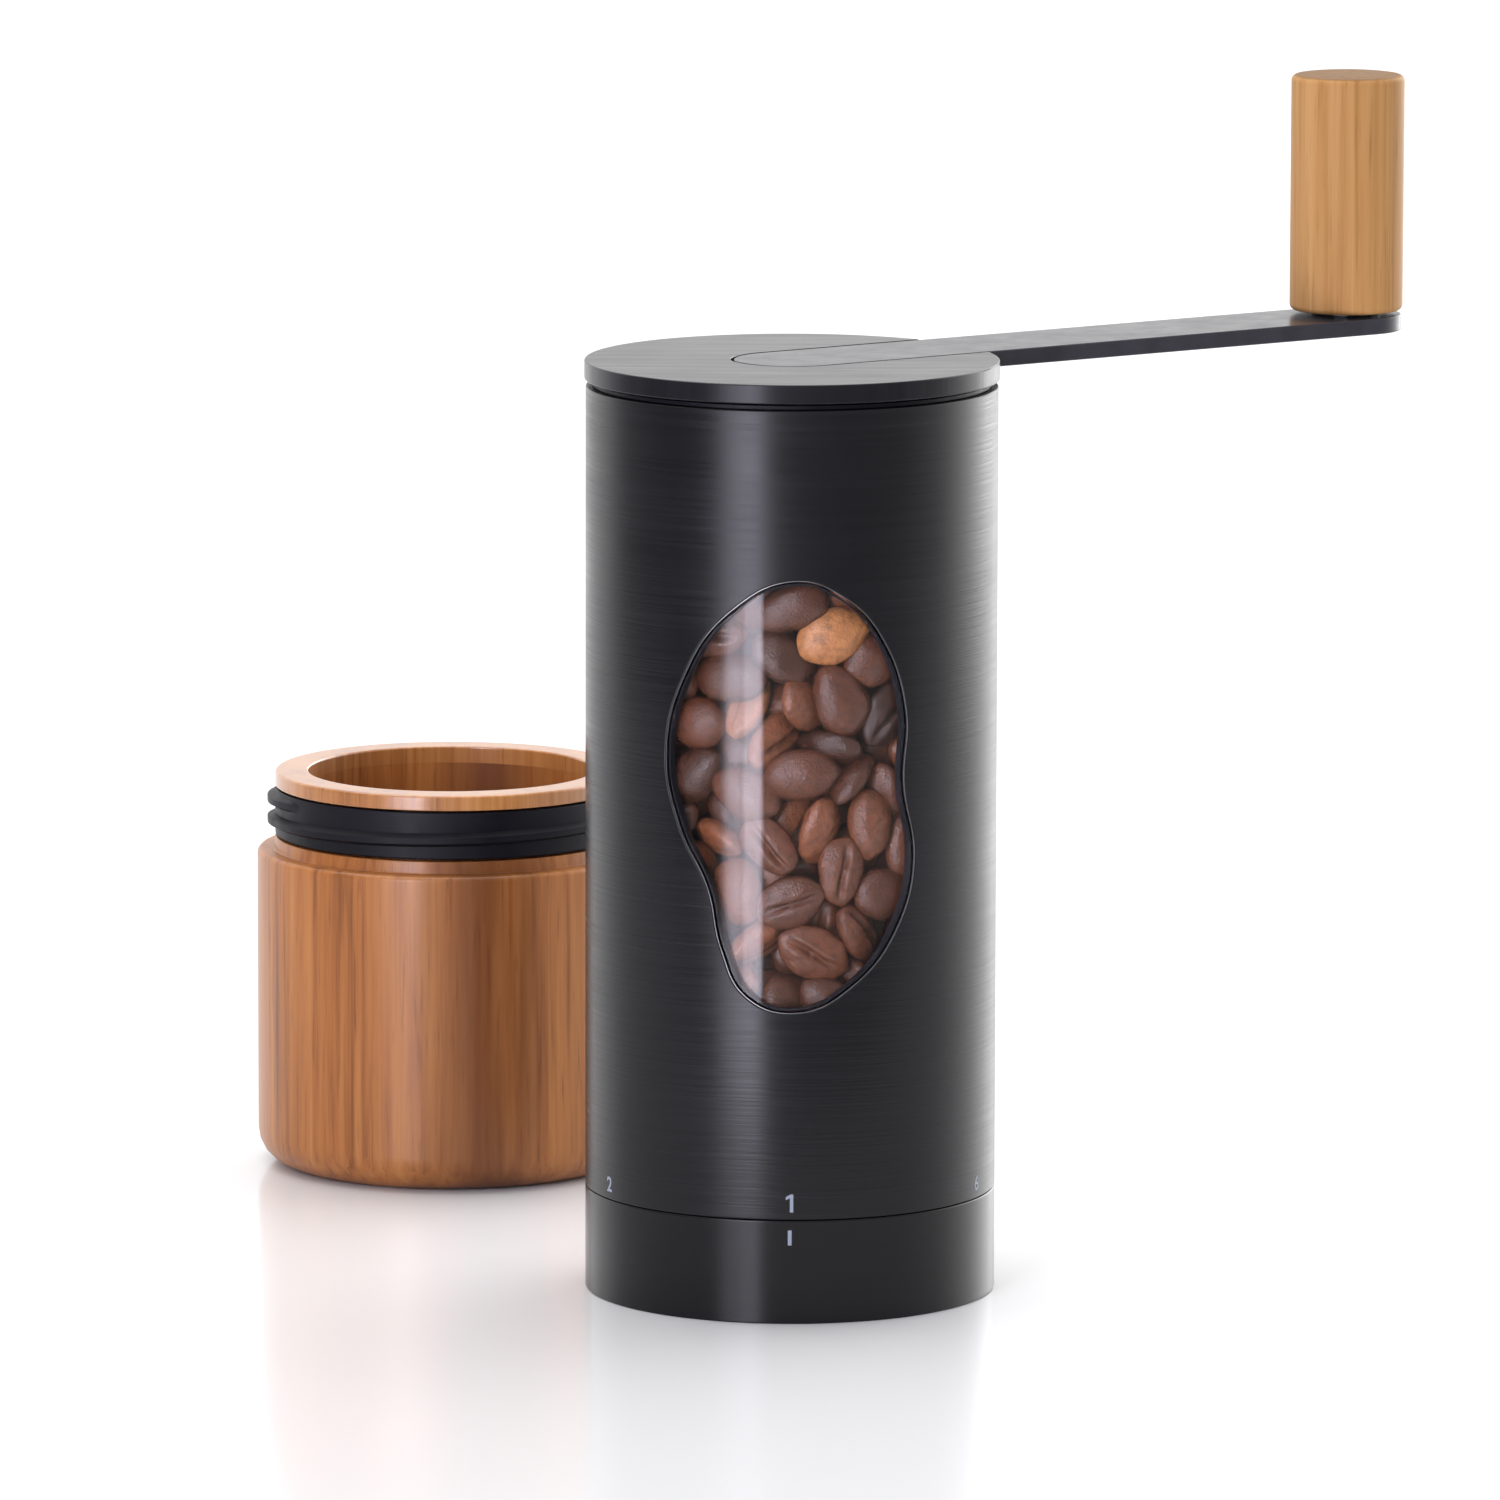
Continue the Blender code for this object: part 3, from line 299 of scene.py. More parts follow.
def blackCoat(name, brush, tone=0.0055, turned=False, ior=1.34, rough=(0.17, 0.29), depth=0.8):
    # black brushed coating; brush is the streaks' spacing a metre along X, Y and Z
    v = coatValues
    look = Look(name, IOR=ior)
    if turned:   # brushed round the body, which spreads its highlights up and down
        tangent = look.add("ShaderNodeTangent")
        tangent.direction_type = "RADIAL"
        tangent.axis = "Z"
        look.join(tangent.outputs["Tangent"], look.shader.inputs["Tangent"])
        look.shader.inputs["Anisotropic"].default_value = v["anisotropy"]
    streak = look.noise(brush, 3.0, 0.6)
    cloud = look.noise(v["cloudScale"], 2.0)
    both = look.sum(streak, cloud, v["cloudShare"])
    dark, light = (tuple(tone * c for c in v[key]) for key in ("dark", "light"))
    look.colour(look.ramp(both, [(0.3, dark), (0.7, light)]))
    look.roughness(look.spread(both, *rough))
    look.bump(streak, v["bump"], depth)
    return look


# the streak values give a darker vertical streak, partly the wood's own colour and partly painted
# shade
woodValues = {"broad": (75, 6), "fine": (620, 16), "pores": (1700, 90),   # across, along
              "streakAndShadeEdge": (160, 14), "streakAndShadeWander": 14 * mm, "streakAndShadeDepth": 0.75,
              "fineShare": 0.58, "places": (0.27, 0.45, 0.68), "poreDepth": 0.4,
              "poreTone": 0.6, "endDepth": 0.8, "endTone": 0.35, "endFade": 0.3 * mm,
              "roughness": (0.40, 0.54), "bump": 0.025 * mm, "bumpStrength": 0.5}


def woodLook(name, dark, middleTone, light, grain=1.0, coat=0.0, streakAndShade=None, endGrain=None,
             ior=1.3):
    # a darker vertical streak at (across, half its width), partly the wood's own colour and partly
    # painted shade; endGrain the height it starts at
    v = woodValues
    look = Look(name, IOR=ior, Coat_Weight=coat, Coat_Roughness=0.2)

    def grainNoise(key, share, *detail):
        across, along = v[key]
        return look.noise((across * share, across * share, along), *detail)

    broad = grainNoise("broad", grain, 3.0, 0.55, 0.8)
    fine = grainNoise("fine", grain, 4.0, 0.65, 0.3)
    pores = grainNoise("pores", 1, 2.0, 0.5)
    value = look.sum(broad, fine, v["fineShare"])
    tone = look.ramp(value, list(zip(v["places"], (dark, middleTone, light))))
    # darker vertical streak: partly the wood's own colour, partly painted shade on the jar's front
    # right
    if streakAndShade:
        edge = look.math("MULTIPLY_ADD", grainNoise("streakAndShadeEdge", 1, 3.0, 0.6), v["streakAndShadeWander"],
                         -v["streakAndShadeWander"] / 2)
        across = look.math("ADD", look.part("X"), edge)
        away = look.math("ABSOLUTE", look.math("SUBTRACT", across, streakAndShade[0]))
        inside = look.spread(away, v["streakAndShadeDepth"], 0.0, 0.2 * streakAndShade[1], 1.3 * streakAndShade[1])
        tone = look.blend(inside, tone, dark)
    hollow = look.spread(pores, 0.0, v["poreDepth"], 0.60, 0.76)
    tone = look.blend(hollow, tone, tuple(v["poreTone"] * c for c in dark))
    if endGrain:
        top = look.spread(look.part("Z"), 0.0, v["endDepth"], endGrain - v["endFade"], endGrain)
        tone = look.blend(top, tone, tuple(v["endTone"] * c for c in middleTone))
    look.colour(tone)
    look.roughness(look.spread(fine, *v["roughness"]))
    look.bump(look.sum(fine, pores, 0.3), v["bump"], v["bumpStrength"])
    return look


def plainLook(name, colour, change, rough, metallic=0.0, scale=(300, 300, 300), **values):
    # a cast, turned or moulded surface, with small changes of tone and roughness
    look = Look(name, Metallic=metallic, **values)
    cloud = look.noise(scale, 3.0, 0.55)
    low = tuple(c * (1 - change) for c in colour)
    high = tuple(c * (1 + change) for c in colour)
    look.colour(look.ramp(cloud, [(0.32, low), (0.68, high)]))
    look.roughness(look.spread(cloud, rough[0], rough[1]))
    look.bump(cloud, 0.01 * mm, 0.4)
    return look


looks = {
    "body": blackCoat("black_coat_round", (22, 22, 2600), turned=True),
    "ring": blackCoat("black_coat_ring", (22, 22, 2600), 0.004, turned=True, rough=(0.13, 0.19),
                      depth=0.25),
    "lid": blackCoat("black_coat_lid", (25, 650, 25), 0.008, ior=1.28),
    "arm": blackCoat("black_coat_arm", (200, 200, 200), 0.026, ior=1.27),
    "brightSteel": plainLook("bright_steel", (0.62, 0.62, 0.60), 0.06, (0.20, 0.30), 1.0,
                             (500, 500, 1800)),
    "springSteel": plainLook("spring_steel", (0.42, 0.42, 0.41), 0.08, (0.26, 0.36), 1.0),
    "burrSteel": plainLook("burr_steel", (0.30, 0.30, 0.31), 0.10, (0.32, 0.44), 1.0),
    "brass": plainLook("brass", (0.72, 0.50, 0.20), 0.08, (0.26, 0.36), 1.0,
                       (300, 300, 1500)),
    "bronze": plainLook("bronze", (0.45, 0.26, 0.12), 0.12, (0.36, 0.48), 1.0),
    "plastic": plainLook("black_plastic", (0.017, 0.017, 0.018), 0.15, (0.24, 0.32)),
    "collar": plainLook("thread_plastic", (0.004, 0.004, 0.007), 0.15, (0.42, 0.54), IOR=1.26),
    "print": plainLook("printed_marks", (0.23, 0.26, 0.33), 0.06, (0.45, 0.55)),
    # the jar's darker streak on its front right is partly the wood's own colour and partly painted
    # shade
    "jar": woodLook("acacia_wood", (0.085, 0.022, 0.005), (0.30, 0.105, 0.025),
                    (0.43, 0.18, 0.052), coat=0.35, streakAndShade=(jarAxis.x + 6 * mm, 9 * mm)),
    "rim": woodLook("pale_acacia_wood", (0.12, 0.037, 0.009), (0.32, 0.122, 0.031),
                    (0.46, 0.21, 0.066), coat=1.0),
    "knob": woodLook("knob_wood", (0.22, 0.102, 0.031), (0.345, 0.176, 0.061),
                     (0.42, 0.242, 0.10), 1.3, ior=1.15, endGrain=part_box("knob_grip")[1].z),
}

glass = Look("clear_plastic", IOR=1.3, Transmission_Weight=1.0)
glass.colour(glass.ramp(glass.noise((120, 120, 120)), [(0.3, (0.95, 0.955, 0.96)),
                                                     (0.7, (0.985, 0.985, 0.985))]))
glass.roughness(glass.spread(glass.noise((90, 90, 20)), 0.0, 0.03))
looks["pane"] = glass

beanSkin = {"roasts": [(0.0, (0.024, 0.008, 0.0045)), (0.55, (0.088, 0.027, 0.013)),
                       (0.9, (0.18, 0.058, 0.024)), (1.0, (0.36, 0.145, 0.048))],
            "burnt": (0.022, 0.008, 0.005), "mottle": (900, 900, 900),
            "wrinkle": (2600, 2600, 2600), "roughness": (0.11, 0.27), "bump": 0.32 * mm}
beanLook = Look("roasted_coffee", IOR=1.5)
roast = beanLook.add("ShaderNodeAttribute")
roast.attribute_name = "roast"
beanTone = beanLook.ramp(roast.outputs["Fac"], beanSkin["roasts"])
mottle = beanLook.noise(beanSkin["mottle"], 4.0, 0.6)
beanLook.colour(beanLook.blend(beanLook.spread(mottle, 0.0, 0.55, 0.4, 0.75), beanTone,
                               beanSkin["burnt"]))
beanLook.roughness(beanLook.spread(mottle, *beanSkin["roughness"]))
wrinkle = beanLook.noise(beanSkin["wrinkle"], 3.0, 0.6)
beanLook.bump(beanLook.sum(mottle, wrinkle, 0.5), beanSkin["bump"], 0.9)
looks["beans"] = beanLook
print("materials made")

# Body tube, with its curved window, and the pane in it
bodySizes = {"wall": 2.4 * mm, "edge": 0.22 * mm, "boreEdge": 0.1 * mm, "facets": 288,
             "halfWidth": 19.4 * mm, "windowEdge": 0.3 * mm, "edgeSteps": 4,
             "paneGap": 0.3 * mm, "paneEdge": 0.15 * mm, "paneInset": 0.2 * mm,
             "paneThick": 2.0 * mm,
             # the black band inside the pane's rim, painted shade at the window's edge, and the
             # bare cut edge: (inner, outer) depth under the surface, growth
             "painted_shade_band": (2.1 * mm, 0.45 * mm, -0.62 * mm, -0.34 * mm),
             "bareEdge": (0.36 * mm, 0.14 * mm, -0.03 * mm, 0.04 * mm)}
windowShape = [
    (0.03, 1.0), (-0.45, 0.93), (-0.84, 0.77), (-1.0, 0.585), (-0.88, 0.425),
    (-0.64, 0.285), (-0.53, 0.145), (-0.34, 0.037), (0.04, 0.0), (0.47, 0.059),
    (0.84, 0.191), (0.985, 0.342), (0.887, 0.525), (0.907, 0.69), (0.69, 0.868),
    (0.40, 0.96),
]
paneLow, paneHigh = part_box("window_pane")
windowBottom = paneLow.z - bodySizes["paneGap"]
windowHeight = paneHigh.z + bodySizes["paneGap"] - windowBottom


def windowOutline():
    # the window's smooth outline as (distance round the body, height above its sill)
    curve = bpy.data.curves.new("window_outline", "CURVE")
    curve.dimensions = "2D"
    curve.fill_mode = "NONE"
    spline = curve.splines.new("BEZIER")
    spline.bezier_points.add(len(windowShape) - 1)
    for point, (u, v) in zip(spline.bezier_points, windowShape):
        point.co = (u * bodySizes["halfWidth"] * 1000, v * windowHeight * 1000, 0.0)
        point.handle_left_type = "AUTO"
        point.handle_right_type = "AUTO"
    spline.resolution_u = 14
    spline.use_cyclic_u = True
    holder = addObject("window_outline", curve)
    bpy.context.view_layer.update()
    points = [Vector((v.co.x, v.co.y)) * mm for v in holder.to_mesh().vertices]
    holder.to_mesh_clear()
    bpy.data.objects.remove(holder)
    return points


outline = windowOutline()
outward = []
for i in range(len(outline)):
    along = (outline[(i + 1) % len(outline)] - outline[i - 1]).normalized()
    outward.append(Vector((along.y, -along.x)))
area = sum(outline[i - 1].x * outline[i].y - outline[i].x * outline[i - 1].y
           for i in range(len(outline)))
if area < 0:
    outward = [-n for n in outward]


def onBody(radius, turn, height):
    # a point about the grinder's axis, turned from its front
    return (grinderAxis.x + radius * math.sin(turn), grinderAxis.y - radius * math.cos(turn),
            height)


def windowLoop(radius, grow):
    # the window's outline laid on a cylinder, larger or smaller by a growth
    moved = [spot + normal * grow for spot, normal in zip(outline, outward)]
    return [onBody(radius, m.x / bodyRadius, windowBottom + m.y) for m in moved]


def windowWedge(name, loops):
    # the window's outline wrapped round the body; loops are (radius, growth), inside first
    count = len(outline)
    points = [point for radius, grow in loops for point in windowLoop(radius, grow)]
    faces = []
    for layer in range(len(loops) - 1):
        a = layer * count
        for i in range(count):
            j = (i + 1) % count
            faces.append([a + i, a + j, a + count + j, a + count + i])
    faces.append(list(range(count)))
    faces.append([count * (len(loops) - 1) + i for i in range(count)])
    mesh = bpy.data.meshes.new(name)
    mesh.from_pydata(points, [], faces)
    work = bmesh.new()
    work.from_mesh(mesh)
    ends = [face for face in work.faces if len(face.verts) > 4]
    bmesh.ops.triangulate(work, faces=ends)
    bmesh.ops.recalc_face_normals(work, faces=work.faces)
    work.to_mesh(mesh)
    work.free()
    return addObject(name, mesh)


def windowBand(name, deep, shallow, growIn, growOut):
    # a closed band that follows the window's outline
    count = len(outline)
    points = []
    for depth, grow in ((deep, growIn), (shallow, growIn), (shallow, growOut), (deep, growOut)):
        points += windowLoop(bodyRadius - depth, grow)
    faces = []
    for side in range(4):
        a, b = side * count, (side + 1) % 4 * count
        for i in range(count):
            j = (i + 1) % count
            faces.append([a + i, a + j, b + j, b + i])
    return addObject(name, meshOf(name, points, faces))


def roundNormals(piece, radii):
    # exact normals where the surface is round about the grinder's axis, at those radii
    mesh = piece.data
    mesh.shade_smooth()
    mesh.set_sharp_from_angle(angle=math.radians(35))
    normals = [Vector(corner.vector) for corner in mesh.corner_normals]
    for polygon in mesh.polygons:
        away = polygon.center.xy - grinderAxis
        level = abs(polygon.normal.z) < 0.02
        straight = abs(polygon.normal.xy.dot(away.normalized())) > 0.999
        if not (level and straight):
            continue
        sign = 1.0 if polygon.normal.xy.dot(away) > 0 else -1.0
        for k in polygon.loop_indices:
            spoke = mesh.vertices[mesh.loops[k].vertex_index].co.xy - grinderAxis
            if min(abs(spoke.length - r) for r in radii) < 0.02 * mm:
                flat = spoke.normalized() * sign
                normals[k] = Vector((flat.x, flat.y, 0.0))
    mesh.normals_split_custom_set([tuple(n) for n in normals])


def makeBody():
    s = bodySizes
    top, bottom = bodyHigh.z, bodyLow.z
    bore = bodyRadius - s["wall"]
    near, far = 0.6 * bodyRadius, 1.6 * bodyRadius   # the cutters' two ends
    tube = lathe("body_tube_fine", [
        (bodyRadius, top, s["edge"]), (bodyRadius, bottom, s["edge"]),
        (bore, bottom, s["boreEdge"]), (bore, top, s["edge"])], grinderAxis, s["facets"])
    edge = s["windowEdge"]
    loops = [(near, 0.0)]
    for i in range(s["edgeSteps"]):
        turn = math.pi / 2 * i / s["edgeSteps"]
        loops.append((bodyRadius - edge + edge * math.sin(turn), edge * (1 - math.cos(turn))))
    loops += [(bodyRadius + 0.02 * mm, edge), (far, edge)]
    carve(tube, windowWedge("window_cut", loops))
    roundNormals(tube, (bodyRadius, bore))
    own(tube, "housing", ["body_tube"], looks["body"].material)

    outer = bodyRadius - s["paneInset"]
    inner = outer - s["paneThick"]
    bevel = s["paneEdge"]
    pane = lathe("window_pane_fine", [
        (outer, paneHigh.z + mm, 0), (outer, paneLow.z - mm, 0),
        (inner, paneLow.z - mm, 0), (inner, paneHigh.z + mm, 0)], grinderAxis, s["facets"])
    gap = -s["paneGap"]
    loops = [(near, gap - bevel), (inner, gap - bevel), (inner + bevel, gap),
             (outer - bevel, gap), (outer + 0.02 * mm, gap - bevel), (far, gap - bevel)]
    carve(pane, windowWedge("pane_cut", loops), "INTERSECT")
    roundNormals(pane, (outer, inner))
    own(pane, "housing", ["window_pane"], looks["pane"].material)
    pane.visible_shadow = False   # lets lamps reach the beans

    # the first band is black, painted shade inside the pane's rim where the window's edge looks
    # dark; the second is the bare cut edge
    bands = [("window_painted_shade_band", "painted_shade_band", "collar", "black_plastic"),
             ("window_bare_edge", "bareEdge", "burrSteel", "burr_steel")]
    for name, key, look, slotName in bands:
        band = shade(windowBand(name, *s[key]), 30, False)
        band.data.materials.append(looks[look].material)
        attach(band, "housing")


makeBody()
print("body and pane made")

# Adjusting ring, its mark and the printed numbers
threadSizes = {"pitch": 3.2 * mm, "rootHalf": 1.2 * mm, "crestHalf": 0.45 * mm, "fade": 0.05,
               "rounding": 0.18 * mm, "steps": 110}
ringSizes = {"wall": 1.6 * mm, "lowEdge": 0.15 * mm, "threadBase": 0.3 * mm,
             "threadDeep": 1.0 * mm, "threadHeight": 2.8 * mm, "threadTurns": 1.4,
             "raise": 0.2 * mm}   # closes most of the gap under the body
scaleSizes = {"proud": 0.025 * mm, "sunk": 0.1 * mm, "firstTall": 2.65 * mm, "tall": 2.2 * mm,
              "above": 1.15 * mm, "bold": 0.018, "markTall": 2.2 * mm, "markWide": 0.55 * mm,
              "markBelow": 1.2 * mm,
              "turns": (0, -61, -121, -180, -238, -295)}   # degrees round from the front


def threadRidge(name, root, crest, startHeight, axis, turn, turns):
    # one ridge of a coarse thread, tapered away at both its ends
    s = threadSizes
    rootHalf, crestHalf, steps = s["rootHalf"], s["crestHalf"], s["steps"]
    section = [(root, -rootHalf), (crest, -crestHalf), (crest, crestHalf), (root, rootHalf)]
    points = []
    for k in range(steps + 1):
        share = k / steps
        angle = turn + 2 * math.pi * turns * share
        fade = min(1.0, share / s["fade"], (1 - share) / s["fade"])
        for radius, height in section:
            reach = root + (radius - root) * (0.02 + 0.98 * fade)
            points.append((axis.x + reach * math.cos(angle), axis.y + reach * math.sin(angle),
                           startHeight + s["pitch"] * turns * share + height))
    faces = [[0, 1, 2, 3], [4 * steps + i for i in (3, 2, 1, 0)]]
    for k in range(steps):
        for i in range(4):
            j = (i + 1) % 4
            faces.append([4 * k + i, 4 * k + j, 4 * k + 4 + j, 4 * k + 4 + i])
    piece = addObject(name, meshOf(name, points, faces))
    rounding = piece.modifiers.new("rounding", "BEVEL")
    rounding.width = s["rounding"]
    rounding.segments = 3
    rounding.angle_limit = math.radians(35)
    return piece


def makeRing():
    s = ringSizes
    low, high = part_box("adjusting_ring")
    bore = bodyRadius - s["wall"]
    edge = bodySizes["edge"]
    top = high.z + s["raise"]
    profile = [(bodyRadius, top, edge), (bodyRadius, low.z, edge), (bore, low.z, s["lowEdge"]),
               (bore, top, 0)]
    piece = lathe("adjusting_ring_fine", profile, grinderAxis, bodySizes["facets"])
    ridge = threadRidge("ring_thread", bore + s["threadBase"], bore - s["threadDeep"],
                        s["threadHeight"], grinderAxis, 0.0, s["threadTurns"])
    own(shade(piece), "ring", ["adjusting_ring"], looks["ring"].material)
    own(shade(ridge, 40), "ring", ["adjusting_ring"], looks["ring"].material)


def wrapped(name, points, faces, angle, base):
    # flat points (across, up) laid on the body's surface as thin solids
    made = []
    for radius in (bodyRadius - scaleSizes["sunk"], bodyRadius + scaleSizes["proud"]):
        made += [onBody(radius, angle + across / bodyRadius, base + up)
                 for across, up in points]
    count = len(points)
    sides = {}
    for face in faces:
        for a, b in zip(face, face[1:] + face[:1]):
            sides[(a, b)] = sides.get((a, b), 0) + 1
    allFaces = [list(face)[::-1] for face in faces] + [[i + count for i in f] for f in faces]
    for a, b in sides:
        if (b, a) not in sides:
            allFaces.append([a, b, b + count, a + count])
    return addObject(name, meshOf(name, made, allFaces))


def digitShape(text, tall, bold):
    font = bpy.data.curves.new("digit", "FONT")
    font.body = text
    font.offset = bold
    font.resolution_u = 6
    holder = addObject("digit", font)
    bpy.context.view_layer.update()
    mesh = holder.to_mesh()
    xs = [v.co.x for v in mesh.vertices]
    ys = [v.co.y for v in mesh.vertices]
    size = tall / (max(ys) - min(ys))
    centre = (max(xs) + min(xs)) / 2
    points = [((v.co.x - centre) * size, (v.co.y - min(ys)) * size) for v in mesh.vertices]
    faces = [list(p.vertices) for p in mesh.polygons]
    holder.to_mesh_clear()
    bpy.data.objects.remove(holder)
    return points, faces


# the bold 1 at the front, in shares of its height
boldOne = [(0.0, 0.0), (0.19, 0.0), (0.19, 1.0), (0.05, 1.0), (-0.22, 0.84), (-0.22, 0.68),
           (0.0, 0.79)]


def makeScale():
    s = scaleSizes
    base = bodyLow.z + s["above"]
    for i, turn in enumerate(s["turns"]):
        if i == 0:
            points = [(x * s["firstTall"], y * s["firstTall"]) for x, y in boldOne]
            faces = [list(range(len(boldOne)))]
        else:
            points, faces = digitShape(str(i + 1), s["tall"], s["bold"])
        digit = wrapped(f"scale_number_{i + 1}", points, faces, math.radians(turn), base)
        digit.data.materials.append(looks["print"].material)
        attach(digit, "housing")
    wide, tall = s["markWide"] / 2, s["markTall"]
    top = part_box("adjusting_ring")[1].z - s["markBelow"]
    mark = wrapped("ring_mark", [(-wide, 0), (wide, 0), (wide, tall), (-wide, tall)],
                   [[0, 1, 2, 3]], 0.0, top - tall)
    mark.data.materials.append(looks["print"].material)
    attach(mark, "ring")


makeRing()
makeScale()
print("ring and scale made")

# Lid, crank arm and the collar under them
lidSizes = {"edge": 0.25 * mm, "armHalf": 8.5 * mm, "slotHalf": 8.95 * mm, "armEnd": 8.3 * mm,
            "slotEdge": 0.12 * mm, "facets": 288}
collarSizes = {"gap": 0.3 * mm, "wall": 1.7 * mm, "edge": 0.2 * mm, "flangeEdge": 0.15 * mm,
               "rest": 0.1 * mm}
lidLow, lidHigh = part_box("lid_plate")
lidRadius = (lidHigh.x - lidLow.x) / 2


def barOutline(half, endHalf, reach, steps=40):
    # a bar along the crank from the grinder's axis, round at both ends
    points = []
    for i in range(steps + 1):
        angle = math.pi / 2 + math.pi * i / steps
        points.append(grinderAxis + (crank * math.cos(angle) + crankSide * math.sin(angle)) * half)
    for i in range(steps + 1):
        angle = -math.pi / 2 + math.pi * i / steps
        points.append(grinderAxis + crank * reach
                      + (crank * math.cos(angle) + crankSide * math.sin(angle)) * endHalf)
    return points


def makeLid():
    s = lidSizes
    edge = s["edge"]
    plate = lathe("lid_plate_fine", [
        (0, lidHigh.z, 0), (lidRadius, lidHigh.z, edge), (lidRadius, lidLow.z, edge),
        (0, lidLow.z, 0)], grinderAxis, s["facets"])
    slot = barOutline(s["slotHalf"], s["slotHalf"], 2 * lidRadius)
    carve(plate, slab("lid_slot", slot, lidLow.z - mm, lidHigh.z + mm))
    rounding = plate.modifiers.new("rounding", "BEVEL")
    rounding.width = s["slotEdge"]
    rounding.segments = 3
    rounding.angle_limit = math.radians(50)
    own(shade(plate), "lid", ["lid_plate"], looks["lid"].material)

    armLow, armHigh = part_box("crank_arm")
    reach = (knobAxis - grinderAxis).length
    arm = slab("crank_arm_fine", barOutline(s["armHalf"], s["armEnd"], reach), armLow.z,
               armHigh.z, edge)
    own(shade(arm), "lid", ["crank_arm"], looks["arm"].material)


def makeCollar():
    s = collarSizes
    low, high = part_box("top_collar")
    flange = (high.x - low.x) / 2
    outside = bodyRadius - bodySizes["wall"] - s["gap"]
    inside = outside - s["wall"]
    step = bodyHigh.z + s["rest"]
    piece = lathe("top_collar_fine", [
        (flange, high.z, s["flangeEdge"]), (flange, step, 0), (outside, step, 0),
        (outside, low.z, s["edge"]), (inside, low.z, s["edge"]), (inside, high.z, s["edge"])],
        grinderAxis)
    own(shade(piece), "housing", ["top_collar"], looks["collar"].material)


makeLid()
makeCollar()
print("lid made")

# Knob
knobSizes = {"edge": 0.9 * mm, "recess": 6.0 * mm, "recessDeep": 1.5 * mm,
             "recessEdge": 0.2 * mm, "bore": 4.4 * mm, "boreHeight": 31.4 * mm, "facets": 128}


def makeKnob():
    low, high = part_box("knob_grip")
    radius = (high.x - low.x) / 2
    s = knobSizes
    step = low.z + s["recessDeep"]
    end = low.z + s["boreHeight"]
    piece = lathe("knob_grip_fine", [
        (0, high.z, 0), (radius, high.z, s["edge"]), (radius, low.z, s["edge"]),
        (s["recess"], low.z, s["recessEdge"]), (s["recess"], step, 0), (s["bore"], step, 0),
        (s["bore"], end, 0), (0, end, 0)], knobAxis, s["facets"])
    own(shade(piece), "knob", ["knob_grip"], looks["knob"].material)


makeKnob()
print("knob made")

# Jar: turned cup, threaded collar and rim
jarSizes = {"baseRound": 5.5 * mm, "floor": 6.0 * mm, "insideRound": 6.0 * mm,
            "shoulder": 49.0 * mm, "shoulderEdge": 0.9 * mm, "mouth": 21.9 * mm,
            "neckCore": 25.2 * mm, "core": 27.0 * mm, "bandBelow": 0.3 * mm,
            "bandEdge": 0.2 * mm, "bandFoot": 0.25 * mm, "facets": 224,
            "collarEdge": 0.3 * mm, "collarGap": 0.1 * mm, "crest": 28.2 * mm,
            "threadSunk": 0.3 * mm, "threadHeight": 2.05 * mm, "threadStart": 155,
            "threadTurns": 1.17, "rimEdge": 0.5 * mm, "rimFoot": 0.15 * mm,
            "mouthEdge": 0.35 * mm, "rimRest": 0.02 * mm}


def makeJar():
    s = jarSizes
    low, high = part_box("jar_cup")
    radius = (high.x - low.x) / 2
    rimLow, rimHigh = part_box("jar_rim")
    collarLow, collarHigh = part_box("thread_collar")
    mouth, neck, core = s["mouth"], s["neckCore"], s["core"]
    shoulder = s["shoulder"] + low.z
    band = collarLow.z - s["bandBelow"]
    inFloor = low.z + s["floor"]
    cup = lathe("jar_cup_fine", [
        (0, low.z, 0), (radius, low.z, s["baseRound"]), (radius, shoulder, s["shoulderEdge"]),
        (core + s["bandFoot"], shoulder, s["bandFoot"]), (core, band, s["bandEdge"]),
        (neck, band, 0), (neck, high.z, 0), (mouth, high.z, 0),
        (mouth, inFloor, s["insideRound"]), (0, inFloor, 0)], jarAxis, s["facets"])
    own(shade(cup), "jar", ["jar_cup"], looks["jar"].material)

    bore = neck + s["collarGap"]
    collar = lathe("thread_collar_fine", [
        (core, collarHigh.z, s["collarEdge"]), (core, collarLow.z, s["collarEdge"]),
        (bore, collarLow.z, 0), (bore, collarHigh.z, 0)], jarAxis)
    own(shade(collar), "jar", ["thread_collar"], looks["collar"].material)
    ridge = threadRidge("collar_thread_fine", core - s["threadSunk"], s["crest"],
                        collarLow.z + s["threadHeight"], jarAxis,
                        math.radians(s["threadStart"]), s["threadTurns"])
    own(shade(ridge, 40), "jar", ["thread_collar"], looks["collar"].material)

    rest = high.z + s["rimRest"]
    rim = lathe("jar_rim_fine", [
        (core, rimHigh.z, s["rimEdge"]), (core, rimLow.z, s["rimFoot"]), (neck, rimLow.z, 0),
        (neck, rest, 0), (mouth, rest, 0), (mouth, rimHigh.z, s["mouthEdge"])],
        jarAxis, s["facets"])
    own(shade(rim), "jar", ["jar_rim"], looks["rim"].material)


makeJar()
print("jar made")

# Coffee beans behind the window and across the top of the hopper
beanSizes = {"length": 10.8 * mm, "width": 7.6 * mm, "back": 2.6 * mm, "front": 1.75 * mm,
             "windowBeans": 186, "topBeans": 58, "reach": math.radians(76), "depth": 12.5 * mm,
             "layer": 9.0 * mm, "wallGap": 0.45 * mm, "ball": 2.2 * mm, "lean": 0.38,
             "outwardShare": 0.55, "push": 0.28, "drift": 0.03, "steps": 220,
             "rings": 22, "spokes": 34, "packSeed": 7, "shapeSeed": 11,
             # lighter beans: degrees from the front, height and roast
             "pale": [(9, 97 * mm, 1.0), (-8, 89.5 * mm, 0.93)]}


